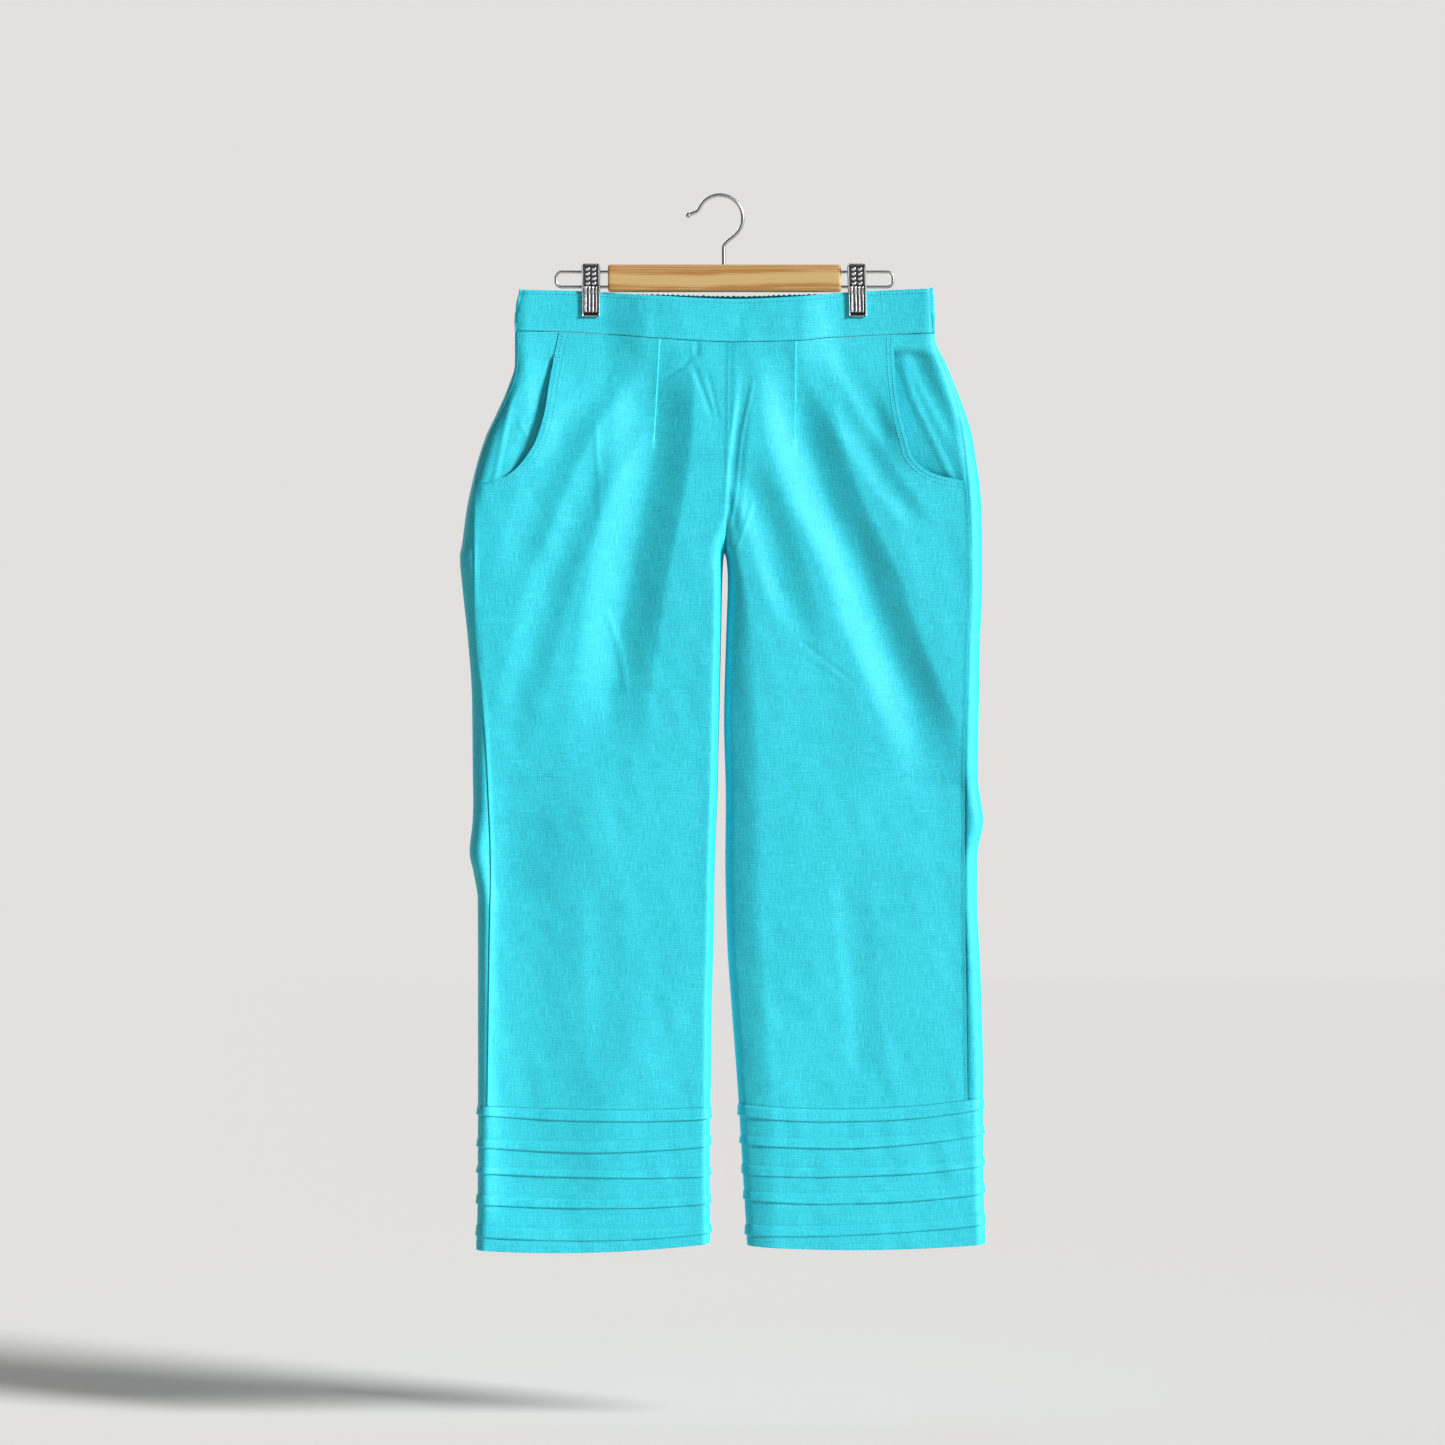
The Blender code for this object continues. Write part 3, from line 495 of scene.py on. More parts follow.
BACK_CREASES = (
    Crease("left seat drop outer", 5, 28, 28, ((-128, -176), (-220, -182), (-330, -196), (-420, -204))),
    Crease("left seat drop middle", 7, 30, 34, ((-128, -98), (-260, -104), (-400, -117), (-560, -122))),
    Crease("left seat drop inner", 5, 24, 26, ((-128, -40), (-230, -46), (-330, -62))),
    Crease("right seat drop inner", 6, 26, 26, ((-128, 52), (-240, 58), (-360, 76), (-470, 82))),
    Crease("right seat drop middle", 7, 32, 30, ((-128, 118), (-250, 122), (-430, 138), (-600, 141))),
    Crease("right seat drop outer", 4.5, 24, 26, ((-128, 190), (-210, 196), (-300, 206))),
    Crease("left calf fall", 3, 48, 50, ((-560, -90), (-700, -96), (-880, -101))),
    Crease("right calf fall", 3, 46, 46, ((-590, 100), (-720, 108), (-870, 117))),
)


# Small sums on arrays

def smooth(keys: Sequence[float], values: Sequence[float], at: Grid) -> Grid:
    """Reads a smooth line through points, which doesn't overshoot.

    Args:
        keys: where the points are, rising.
        values: the line's values there.
        at: where to read it.

    Returns:
        The values there, held level past both ends.
    """
    keys, values = np.asarray(keys, float), np.asarray(values, float)
    at = np.clip(np.asarray(at, float), keys[0], keys[-1])
    slopes = np.diff(values) / np.diff(keys)
    tangents = np.zeros(len(keys))
    same = slopes[:-1] * slopes[1:] > 0
    total = np.where(same, slopes[:-1] + slopes[1:], 1)
    tangents[1:-1] = np.where(same, 2 * slopes[:-1] * slopes[1:] / total, 0)
    tangents[0], tangents[-1] = slopes[0], slopes[-1]
    i = np.clip(np.searchsorted(keys, at, side="right") - 1, 0, len(keys) - 2)
    width = keys[i + 1] - keys[i]
    t = (at - keys[i]) / width
    rise = values[i + 1] - values[i]
    start, end = tangents[i] * width, tangents[i + 1] * width
    return values[i] + t * start + t * t * (3 * rise - 2 * start - end) + t**3 * (start + end - 2 * rise)


def read(table: Sequence[NamedTuple], column: str, at: Grid) -> Grid:
    """Reads a table's column smoothly at values of its first column.

    Args:
        table: rows with named columns.
        column: the column's name.
        at: values of the first column.

    Returns:
        The column's values there.
    """
    rows = sorted(table, key=lambda row: row[0])
    return smooth([row[0] for row in rows], [getattr(row, column) for row in rows], at)


def ease(t: Grid) -> Grid:
    """Returns 0 to 1 as t goes from 0 to 1, with soft ends."""
    t = np.clip(t, 0.0, 1.0)
    return t * t * (3 - 2 * t)


def opening(distance: Grid, over: Grid) -> Grid:
    """Returns how far a section has opened, 0 to 1, at a distance from the fold that closes it."""
    t = np.clip(distance / over, 0.0, 1.0)
    return np.sqrt(1 - (1 - t) ** 2)


def three_points(heights: Sequence[float], left: Grid, right: Grid, across: Grid) -> Grid:
    """Reads the curve through heights at the left, middle and right.

    Args:
        heights: the three heights.
        left: the place of the first.
        right: the place of the last.
        across: where to read the curve.

    Returns:
        The heights there.
    """
    t = np.clip((across - left) / (right - left), 0.0, 1.0)
    start, middle, end = heights
    return start * (1 - t) * (1 - 2 * t) + middle * 4 * t * (1 - t) + end * t * (2 * t - 1)


@dataclass
class Unevenness:
    """Smooth seeded unevenness over a plane, from -1 to 1."""

    seed: int
    wide: float
    tall: float
    cells: int = 97
    lattice: Grid = field(init=False)

    def __post_init__(self) -> None:
        """Draws the values at the corners of the cells."""
        self.lattice = np.random.default_rng(self.seed).uniform(-1, 1, (self.cells, self.cells))

    def at(self, across: Grid, height: Grid) -> Grid:
        """Reads the unevenness at places given in millimetres."""
        a, b = across / self.wide, height / self.tall
        i, j = np.floor(a).astype(int), np.floor(b).astype(int)
        s, t = ease(a - i), ease(b - j)
        i, j, k, m = i % self.cells, j % self.cells, (i + 1) % self.cells, (j + 1) % self.cells
        low = self.lattice[i, j] * (1 - s) + self.lattice[k, j] * s
        high = self.lattice[i, m] * (1 - s) + self.lattice[k, m] * s
        return low * (1 - t) + high * t


# The cloth's surface

def grip(across: Grid, height: Grid, outside: float = GRIP_OUTSIDE) -> Grid:
    """Works out how much of the depth the nearest clip takes away.

    Args:
        across: the places across the cloth.
        height: their heights.
        outside: how fast the hold fades towards the outer edges, as a share of how fast it does inwards.

    Returns:
        The share that it takes, from 0 to 1.
    """
    near = np.minimum(*(
        np.abs(across - at) * np.where((across - at) * side.value > 0, outside, 1.0)
        for side, at in CLIP_AT.items()
    ))
    sideways = 1 - ease((near - GRIP_HALF_WIDTH) / GRIP_FADES_OVER)
    return sideways * (1 - ease((GRIP_ABOVE - height) / (GRIP_ABOVE - GRIP_GONE)))


@dataclass
class Form:
    """The surface of a leg, or of the waist where side is None, as level sections.

    A turn goes from 0 at the inner or left edge over the front to 1 at the outer or right edge, and over the
    back to 2.
    """

    side: Side | None
    crumple: float = 0.7
    table_step: float = 2.0
    turns: int = 721
    _heights: Grid = field(init=False)
    _lengths: Grid = field(init=False)

    def __post_init__(self) -> None:
        """Measures the sections at even heights, once."""
        self._slow = Unevenness(5, 46, 120)
        self._quick = Unevenness(11, 15, 38)
        self._fine = Unevenness(17, 70, 9)
        self._heights = np.arange(-1040.0, -84.0, self.table_step)
        across, deep = self.place(self._heights[:, None], np.linspace(0, 2, self.turns)[None, :])
        steps = np.hypot(np.diff(across, axis=1), np.diff(deep, axis=1))
        self._lengths = np.concatenate([np.zeros((len(self._heights), 1)), np.cumsum(steps, axis=1)], axis=1)
        share = np.linspace(0, 1, self.turns)
        turn = np.linspace(0, 2, self.turns)
        self._turn_of_share = np.array([np.interp(share, row / row[-1], turn) for row in self._lengths])

    @property
    def inward(self) -> int:
        """The sign that turns the section's direction into the hollow."""
        return 1 if self.side is None else self.side.value

    def edges(self, height: Grid) -> tuple[Grid, Grid, Grid]:
        """Returns the places of a section's start and outer edge, and how far the start stands open."""
        if self.side is None:
            return read(OUTLINE, "left", height), read(OUTLINE, "right", height), np.zeros_like(height)
        outer = read(OUTLINE, self.side.word, height)
        above = height > CROTCH
        inner = np.where(above, read(CENTRE_SEAM, "across", height), read(INNER_EDGE, self.side.word, height))
        return inner, outer, np.where(above, INNER_OPENS_OVER * (height - CROTCH) / CROTCH_RISE, 0.0)

    def place(self, height: Grid, turn: Grid) -> tuple[Grid, Grid]:
        """Works out the surface's points.

        Args:
            height: the heights of the places.
            turn: how far round their sections they are.

        Returns:
            Their places across and front to back.
        """
        height, turn = np.broadcast_arrays(np.asarray(height, float), np.asarray(turn, float))
        front = turn <= 1
        start, end, rise = self.edges(height)
        share = 0.5 - 0.5 * np.cos(np.pi * np.where(front, turn, 2 - turn))
        across = start + share * (end - start)
        from_start, from_end = np.abs(across - start) + rise, np.abs(end - across)
        opens = read(DEPTH, "opens_over", height)
        if self.side is None:
            opened = opening(from_start, opens) * opening(from_end, opens)
        else:
            flatter = np.where(front, ease((FLATTER_BELOW - height) / FLATTER_WITHIN), 0.0)
            opened = opening(from_end, opens * (1 - OUTER_FLATTER * flatter)) * self.inner_opening(
                height, from_start, front
            )
        depth = np.where(front, read(DEPTH, "front", height), read(DEPTH, "back", height))
        held = grip(across, height)
        half = depth * opened
        half = half - held * np.maximum(half - GRIP_HALF * opened, 0.0)
        pushed = np.zeros_like(half)
        for mask, creases in ((front, FRONT_CREASES), (~front, BACK_CREASES)):
            for crease in creases:
                pushed += np.where(mask, crease.push(height, across), 0.0)
        shift = np.where(front, 0.0, 500.0)
        pushed += self.crumple * (
            0.9 * self._slow.at(across + shift, height)
            + 0.5 * self._quick.at(across + shift + 0.3 * height, height)
            + 0.3 * self._fine.at(across + shift, height)
        )
        clear = ease(from_start / CLEAR_OF_EDGE) * ease(from_end / CLEAR_OF_EDGE)
        half = half - pushed * clear * (1 - held)
        return across, np.where(front, -half, half)

    def inner_opening(self, height: Grid, distance: Grid, front: Grid) -> Grid:
        """Works out how far a leg's section has opened from its inner edge.

        Args:
            height: the heights of the places.
            distance: how far from the inner edge they are.
            front: which of them lie in front.

        Returns:
            The opening there, from 0 to 1.
        """
        low = np.where(front, ease((TIGHT_BELOW - height) / TIGHT_WITHIN), 0.0)
        plain = opening(distance, INNER_OPENS_OVER)
        if self.side is Side.LEFT:
            return plain + low * (opening(distance, INNER_FOLD_OPENS_OVER) - plain)
        rolls = np.clip(distance / read(RIGHT_ROLL, "width", height), 0, 1)
        evenly = (1 - ROLL_AT_FOLD) * (1 - (1 - rolls) ** ROLL_EASES_BY)
        slanted = ROLL_AT_FOLD * opening(distance, INNER_FOLD_OPENS_OVER) + evenly
        return plain + low * (slanted - plain)

    def _rows(self, height: Grid) -> tuple[Grid, Grid]:
        """Returns the table's row below each height, and how far above that row the height is."""
        at = (np.asarray(height, float) - self._heights[0]) / self.table_step
        row = np.clip(np.floor(at).astype(int), 0, len(self._heights) - 2)
        return row, np.clip(at - row, 0, 1)

    def _look_up(self, table: Grid, height: Grid, at: Grid) -> Grid:
        """Reads a table by height and by a share of its width."""
        row, up = self._rows(height)
        at = np.clip(at, 0, 1) * (self.turns - 1)
        column = np.clip(np.floor(at).astype(int), 0, self.turns - 2)
        t = at - column
        low = table[row, column] * (1 - t) + table[row, column + 1] * t
        high = table[row + 1, column] * (1 - t) + table[row + 1, column + 1] * t
        return low * (1 - up) + high * up

    def total(self, height: Grid) -> Grid:
        """Returns the length of whole sections."""
        row, up = self._rows(height)
        return self._lengths[row, -1] * (1 - up) + self._lengths[row + 1, -1] * up

    def along(self, height: Grid, turn: Grid) -> Grid:
        """Returns the length round a section to a turn."""
        height, turn = np.broadcast_arrays(height, turn)
        return self._look_up(self._lengths, height, turn / 2)

    def front_along(self, height: Grid, across: Grid) -> Grid:
        """Returns the length round a section to a place across its front."""
        start, end, _ = self.edges(np.asarray(height, float))
        share = np.clip((across - start) / (end - start), 0, 1)
        return self.along(height, np.arccos(1 - 2 * share) / np.pi)

    def front_length(self, height: Grid) -> Grid:
        """Returns the length of a section's front."""
        return self.along(height, np.ones_like(np.asarray(height, float)))

    def point(self, height: Grid, along: Grid) -> tuple[Grid, Grid]:
        """Returns the places across and front to back at a length round a section."""
        share = along / self.total(height)
        if self.side is None:
            share = share % 1.0
        else:
            share = np.where(height <= CROTCH, share % 1.0, np.clip(share, 0, 1))
        return self.place(height, self._look_up(self._turn_of_share, height, share))

    def moved(self, height: Grid, along: Grid, inwards: Grid, reach: float = 0.8) -> Grid:
        """Works out points of the surface, moved into the hollow.

        Args:
            height: the heights of the points.
            along: their lengths round their sections.
            inwards: how far they are moved in.
            reach: how far to each side the surface's direction is read.

        Returns:
            The points, with x, y and z last.
        """
        height, along = np.broadcast_arrays(np.asarray(height, float), np.asarray(along, float))
        x, y = self.point(height, along)
        before, after = self.point(height, along - reach), self.point(height, along + reach)
        tangent_x, tangent_y = after[0] - before[0], after[1] - before[1]
        size = np.maximum(np.hypot(tangent_x, tangent_y), 1e-9)
        into_x, into_y = -tangent_y / size * self.inward, tangent_x / size * self.inward
        return np.stack([x + into_x * inwards, y + into_y * inwards, height], axis=-1)


def waist_line(name: str, across: Grid) -> Grid:
    """Returns the height of one of the waistband's edges."""
    return read(WAIST_LINES, name, across)


def pocket_bottom(side: Side) -> float:
    """Returns the height at which a pocket edge meets the side seam."""
    return POCKET_EDGE[side][-1].height


def front_end(side: Side, height: Grid) -> Grid:
    """Returns where a front leg ends: at its pocket edge, or at the side seam below it."""
    height = np.asarray(height, float)
    pocket = read(POCKET_EDGE[side], "across", height)
    return np.where(height > pocket_bottom(side), pocket, read(SIDE_SEAM, side.word, height))


def across_leg(side: Side, heights: Sequence[float], across: Grid) -> Grid:
    """Returns the height of a line across a hem band."""
    edges = [float(read(table, side.word, heights[1])) for table in (INNER_EDGE, OUTLINE)]
    return three_points(heights, min(edges), max(edges), across)


# Meshes

def grid_faces(rows: int, columns: int, start: int, closed: bool) -> Grid:
    """Lists the faces of a grid of points.

    Args:
        rows: how many rows it has.
        columns: how many points a row has.
        start: the index of its first point.
        closed: whether each row closes on itself.

    Returns:
        Four indices a face.
    """
    wide = columns if closed else columns - 1
    row, column = np.meshgrid(np.arange(rows - 1), np.arange(wide), indexing="ij")
    a = start + row * columns + column
    b = start + row * columns + (column + 1) % columns
    return np.stack([a, b, b + columns, a + columns], axis=-1).reshape(-1, 4)


def add_object(name: str, mesh: bpy.types.Mesh, material: bpy.types.Material) -> bpy.types.Object:
    """Adds a mesh to the scene under a material."""
    mesh.materials.append(material)
    thing = bpy.data.objects.new(name, mesh)
    bpy.context.scene.collection.objects.link(thing)
    return thing


def solid_mesh(name: str, points: Grid, faces: Sequence, sharp_over: float = 38.0) -> bpy.types.Mesh:
    """Makes a closed mesh, turned outwards and smooth but for its sharp edges.

    Args:
        name: the mesh's name.
        points: its points in millimetres.
        faces: its faces, as indices.
        sharp_over: the angle in degrees over which an edge stays sharp.

    Returns:
        The mesh, in metres.
    """
    mesh = bpy.data.meshes.new(name)
    mesh.from_pydata((points.reshape(-1, 3) * MM).tolist(), [], [tuple(face) for face in faces])
    shape = bmesh.new()
    shape.from_mesh(mesh)
    bmesh.ops.recalc_face_normals(shape, faces=shape.faces)
    shape.to_mesh(mesh)
    shape.free()
    mesh.polygons.foreach_set("use_smooth", np.ones(len(mesh.polygons), bool))
    mesh.set_sharp_from_angle(angle=math.radians(sharp_over))
    return mesh


def shell_mesh(name: str, outer: Grid, inner: Grid, cut: Grid, closed: bool = False) -> bpy.types.Mesh:
    """Makes a cloth shell between two grids of points.

    Args:
        name: the mesh's name.
        outer: the outside, as rows of points in millimetres.
        inner: the inside, with the same rows and columns.
        cut: where each point lies on the flat cloth, across and down, in millimetres.
        closed: whether the rows close on themselves.

    Returns:
        The mesh, whose "cut" attribute holds the places on the flat cloth in metres.
    """
    rows, columns = outer.shape[:2]
    start = rows * columns
    faces = [grid_faces(rows, columns, 0, closed), grid_faces(rows, columns, start, closed)[:, ::-1]]
    ends = np.arange(columns if closed else columns - 1)
    after = (ends + 1) % columns
    for first in (0, start - columns):
        a, b = first + ends, first + after
        faces.append(np.stack([a, b, b + start, a + start], axis=-1))
    if not closed:
        sides = np.arange(rows - 1) * columns
        for column in (0, columns - 1):
            a = sides + column
            faces.append(np.stack([a, a + columns, a + columns + start, a + start], axis=-1))
    points = np.concatenate([outer.reshape(-1, 3), inner.reshape(-1, 3)])
    mesh = solid_mesh(name, points, np.concatenate(faces).tolist())
    places = np.zeros((len(points), 3), np.float32)
    places[:, :2] = np.concatenate([cut.reshape(-1, 2)] * 2) * MM
    attribute = mesh.attributes.new("cut", "FLOAT_VECTOR", "POINT")
    attribute.data.foreach_set("vector", places.ravel())
    return mesh


def tube_mesh(name: str, route: Grid, radii: Grid, sides: int = 16) -> bpy.types.Mesh:
    """Makes a round wire in the plane of the hanger.

    Args:
        name: the mesh's name.
        route: (across, height) points in millimetres.
        radii: the wire's radius at each point.
        sides: how many sides it has.

    Returns:
        The closed mesh.
    """
    tangents = np.gradient(route, axis=0)
    tangents /= np.linalg.norm(tangents, axis=1)[:, None]
    angles = np.linspace(0, 2 * np.pi, sides, endpoint=False)
    sideways = np.stack([-tangents[:, 1], np.zeros(len(route)), tangents[:, 0]], axis=-1)
    centres = np.stack([route[:, 0], np.zeros(len(route)), route[:, 1]], axis=-1)
    reach = radii[:, None, None]
    rings = centres[:, None] + reach * (
        np.cos(angles)[None, :, None] * sideways[:, None]
        + np.sin(angles)[None, :, None] * np.array([0.0, 1.0, 0.0])
    )
    faces = grid_faces(len(route), sides, 0, True).tolist()
    faces += [list(range(sides)), list(range((len(route) - 1) * sides, len(route) * sides))]
    return solid_mesh(name, rings, faces)


def through(points: Sequence[tuple[float, float]], step: float) -> Grid:
    """Returns an even row of points on a smooth line through a few, about a step apart."""
    corners = np.array(points, float)
    padded = np.vstack([2 * corners[0] - corners[1], corners, 2 * corners[-1] - corners[-2]])
    found = []
    for a, b, c, d in zip(padded, padded[1:], padded[2:], padded[3:]):
        count = max(2, int(np.linalg.norm(c - b) / step))
        t = (np.arange(count) / count)[:, None]
        bend, twist = 2 * a - 5 * b + 4 * c - d, 3 * b - a - 3 * c + d
        found.append(0.5 * (2 * b + (c - a) * t + bend * t**2 + twist * t**3))
    return np.vstack([*found, corners[-1:]])


# Node graphs

class Value:
    """A number in a node graph, on which shader maths is written as plain sums."""

    def __init__(self, graph: "Graph", socket: bpy.types.NodeSocket) -> None:
        """Wraps a socket of a graph."""
        self.graph = graph
        self.socket = socket

    def _math(self, operation: str, *terms: "Value | float") -> "Value":
        """Adds a Math node."""
        return self.graph.value("ShaderNodeMath", {"operation": operation}, dict(enumerate(terms)))

    def __add__(self, other: "Value | float") -> "Value":
        """Adds."""
        return self._math("ADD", self, other)

    def __radd__(self, other: float) -> "Value":
        """Adds, with the number first."""
        return self._math("ADD", other, self)

    def __sub__(self, other: "Value | float") -> "Value":
        """Takes away."""
        return self._math("SUBTRACT", self, other)

    def __rsub__(self, other: float) -> "Value":
        """Takes away from a number."""
        return self._math("SUBTRACT", other, self)

    def __mul__(self, other: "Value | float") -> "Value":
        """Multiplies."""
        return self._math("MULTIPLY", self, other)

    def __rmul__(self, other: float) -> "Value":
        """Multiplies, with the number first."""
        return self._math("MULTIPLY", other, self)

    def ramp(self, low: float, high: float) -> "Value":
        """Returns 0 to 1 as the value goes from low to high, with soft ends."""
        sockets = {"Value": self, "From Min": low, "From Max": high}
        return self.graph.value("ShaderNodeMapRange", {"interpolation_type": "SMOOTHSTEP"}, sockets)

    def sine(self) -> "Value":
        """Returns the sine."""
        return self._math("SINE", self)

    def size(self) -> "Value":
        """Returns the value without its sign."""
        return self._math("ABSOLUTE", self)


class Graph:
    """The node tree of one material."""

    def __init__(self, name: str) -> None:
        """Starts an empty material."""
        self.material = bpy.data.materials.new(name)
        self.material.use_nodes = True
        self.tree = self.material.node_tree
        self.tree.nodes.clear()

    def node(self, kind: str, settings: dict | None = None, sockets: dict | None = None) -> bpy.types.Node:
        """Adds a node.

        Args:
            kind: the node's type.
            settings: its settings, which are set first; "stops" holds a ramp's (place, colour) pairs.
            sockets: the values or links of its inputs, by name or number.

        Returns:
            The node.
        """
        made = self.tree.nodes.new(kind)
        for name, setting in (settings or {}).items():
            if name == "stops":
                while len(made.color_ramp.elements) < len(setting):
                    made.color_ramp.elements.new(1.0)
                for element, (at, colour) in zip(made.color_ramp.elements, setting):
                    element.position, element.color = at, (*colour, 1)
            else:
                setattr(made, name, setting)
        for name, given in (sockets or {}).items():
            if isinstance(given, (Value, bpy.types.NodeSocket)):
                self.tree.links.new(given.socket if isinstance(given, Value) else given, made.inputs[name])
            else:
                made.inputs[name].default_value = given
        return made

    def value(self, kind: str, settings: dict | None = None, sockets: dict | None = None) -> Value:
        """Adds a node and returns its first output as a value."""
        return Value(self, self.node(kind, settings, sockets).outputs[0])

    def cloth_place(self) -> bpy.types.NodeSocket:
        """Returns the place on the flat cloth."""
        return self.node("ShaderNodeAttribute", {"attribute_name": "cut"}).outputs["Vector"]

    def object_place(self) -> bpy.types.NodeSocket:
        """Returns the place in the object's own frame."""
        return self.node("ShaderNodeTexCoord").outputs["Object"]

    def stretched(
        self, place: bpy.types.NodeSocket, scale: tuple[float, float, float]
    ) -> bpy.types.NodeSocket:
        """Returns a place multiplied along each axis."""
        return self.node("ShaderNodeVectorMath", {"operation": "MULTIPLY"}, {0: place, 1: scale}).outputs[0]

    def noise(
        self,
        place: bpy.types.NodeSocket,
        scale: tuple[float, float, float],
        detail: float = 2.0,
        offset: float = 0.0,
    ) -> Value:
        """Returns noise from 0 to 1.

        Args:
            place: where it is read.
            scale: how many cells there are in a metre along each axis.
            detail: how many finer layers it has.
            offset: moves it, so that two noises differ.

        Returns:
            The noise.
        """
        sockets = {0: place, 1: (offset, offset, offset)}
        moved = self.node("ShaderNodeVectorMath", {"operation": "ADD"}, sockets)
        vector = self.stretched(moved.outputs[0], scale)
        return self.value("ShaderNodeTexNoise", None, {"Vector": vector, "Scale": 1.0, "Detail": detail})

    def mix(self, share: Value, first: tuple | bpy.types.NodeSocket, second: tuple | bpy.types.NodeSocket):
        """Mixes two colours.

        Args:
            share: how much of the second there is.
            first: a colour or a link.
            second: a colour or a link.

        Returns:
            The mixed colour's socket.
        """
        made = self.node("ShaderNodeMix", {"data_type": "RGBA"})
        self.tree.links.new(share.socket, made.inputs["Factor"])
        for number, colour in ((6, first), (7, second)):
            if isinstance(colour, tuple):
                made.inputs[number].default_value = (*colour, 1)
            else:
                self.tree.links.new(colour, made.inputs[number])
        return made.outputs[2]

    def bump(self, height: Value, distance: float, strength: float) -> bpy.types.NodeSocket:
        """Returns the normal of a relief whose height goes from 0 to 1."""
        sockets = {"Height": height, "Distance": distance, "Strength": strength}
        return self.node("ShaderNodeBump", None, sockets).outputs["Normal"]

    def surface(self, **sockets: object) -> bpy.types.Material:
        """Adds the shader, with underscores for the spaces in its inputs' names, and returns the material."""
        named = {name.replace("_", " "): given for name, given in sockets.items()}
        shader = self.node("ShaderNodeBsdfPrincipled", None, named)
        self.node("ShaderNodeOutputMaterial", None, {"Surface": shader.outputs[0]})
        return self.material


# Finishes

@dataclass(frozen=True)
class Linen:
    """Plain-weave linen with uneven threads and a few slubs."""

    name: str = "turquoise linen"
    deep: tuple[float, float, float] = (0.0, 0.48, 0.62)
    light: tuple[float, float, float] = (0.03, 0.72, 0.84)
    slub: tuple[float, float, float] = (0.08, 0.80, 0.90)
    roughness: float = 0.62
    thread: float = 0.0009

    def material(self) -> bpy.types.Material:
        """Makes the material."""
        graph = Graph(self.name)
        place = graph.cloth_place()
        close = 1 / self.thread
        warp = graph.noise(place, (close, close / 16, 1), 3)
        weft = graph.noise(place, (close / 11, close, 1), 3, 0.37)
        grain = graph.noise(place, (close * 0.8, close * 0.8, 1), 2, 0.71)
        cloudy = graph.noise(place, (14, 9, 1), 3, 1.3)
        weave = (warp - 0.5) * 0.9 + (weft - 0.5) * 0.65 + (grain - 0.5) * 0.5
        tone = 0.5 + weave * 1.7 + (cloudy - 0.5) * 0.5
        body = graph.mix(tone, self.deep, self.light)
        thick = graph.noise(place, (close / 3, close / 30, 1), 1, 2.1).ramp(0.70, 0.78)
        long = graph.noise(place, (close / 30, close / 3, 1), 1, 3.4).ramp(0.70, 0.78)
        colour = graph.mix((thick + long) * 0.35, body, self.slub)
        relief = warp * 0.5 + weft * 0.5 + grain * 0.25
        return graph.surface(
            Base_Color=colour,
            Roughness=self.roughness + weave * 0.1,
            Normal=graph.bump(relief, 0.0008, 0.7),
            Sheen_Weight=0.03,
            Sheen_Roughness=0.5,
            Specular_IOR_Level=0.6,
        )


@dataclass(frozen=True)
class Thread:
    """Twisted sewing thread."""

    name: str = "turquoise thread"
    deep: tuple[float, float, float] = (0.03, 0.52, 0.65)
    light: tuple[float, float, float] = (0.12, 0.74, 0.86)

    def material(self) -> bpy.types.Material:
        """Makes the material."""
        graph = Graph(self.name)
        place = graph.object_place()
        twist = graph.noise(place, (1500, 1500, 1500), 2)
        return graph.surface(
            Base_Color=graph.mix(twist, self.deep, self.light),
            Roughness=0.62 + twist * 0.1,
            Normal=graph.bump(twist, 0.0002, 0.4),
            Sheen_Weight=0.2,
        )


@dataclass(frozen=True)
class Pine:
    """Satin pine, pale in the middle with orange-brown streaks along its edges, and a painted highlight along
    its top and bottom rims.
    """

    name: str = "satin pine"
    pale: tuple[float, float, float] = (0.62, 0.42, 0.175)
    brown: tuple[float, float, float] = (0.42, 0.19, 0.045)
    # edge: the colour of the painted highlight along the top and bottom rims.
    edge: tuple[float, float, float] = (0.66, 0.47, 0.23)
    middle: float = -0.0798
    half_height: float = 0.0132

    def material(self) -> bpy.types.Material:
        """Makes the material."""
        graph = Graph(self.name)
        place = graph.object_place()
        parts = graph.node("ShaderNodeSeparateXYZ", None, {0: place})
        up = Value(graph, parts.outputs["Z"]) - self.middle
        deep = Value(graph, parts.outputs["Y"])
        wander = graph.noise(place, (7, 3, 3), 2) - 0.5
        fibre = graph.noise(place, (30, 900, 900), 3)
        lines = ((up + deep * 0.5 + wander * 0.006) * 2600).sine() * 0.5 + 0.5
        rings = lines * (fibre * 0.6 + 0.5)
        toward_edge = (up + wander * 0.022).size().ramp(0.003, 0.0105)
        flame = graph.noise(place, (9, 5, 260), 3, 0.9).ramp(0.48, 0.62)
        streaks = (rings * 0.5 + 0.15 + flame * 0.75) * toward_edge + lines * 0.08
        wood = graph.mix(streaks * 1.9, self.pale, self.brown)
        mottled = graph.mix((fibre - 0.5) * 0.6 + 0.08, wood, self.pale)
        # Painted highlight: a lighter band along the top and bottom rims, where the rounded edges catch the
        # light.
        rim = up.size().ramp(self.half_height - 0.0016, self.half_height - 0.0004) * 0.45
        return graph.surface(
            Base_Color=graph.mix(rim, mottled, self.edge),
            Roughness=0.42 + fibre * 0.18,
            Normal=graph.bump(fibre * 0.6 + lines * 0.4, 0.0003, 0.3),
            Coat_Weight=0.15,
            Coat_Roughness=0.3,
        )


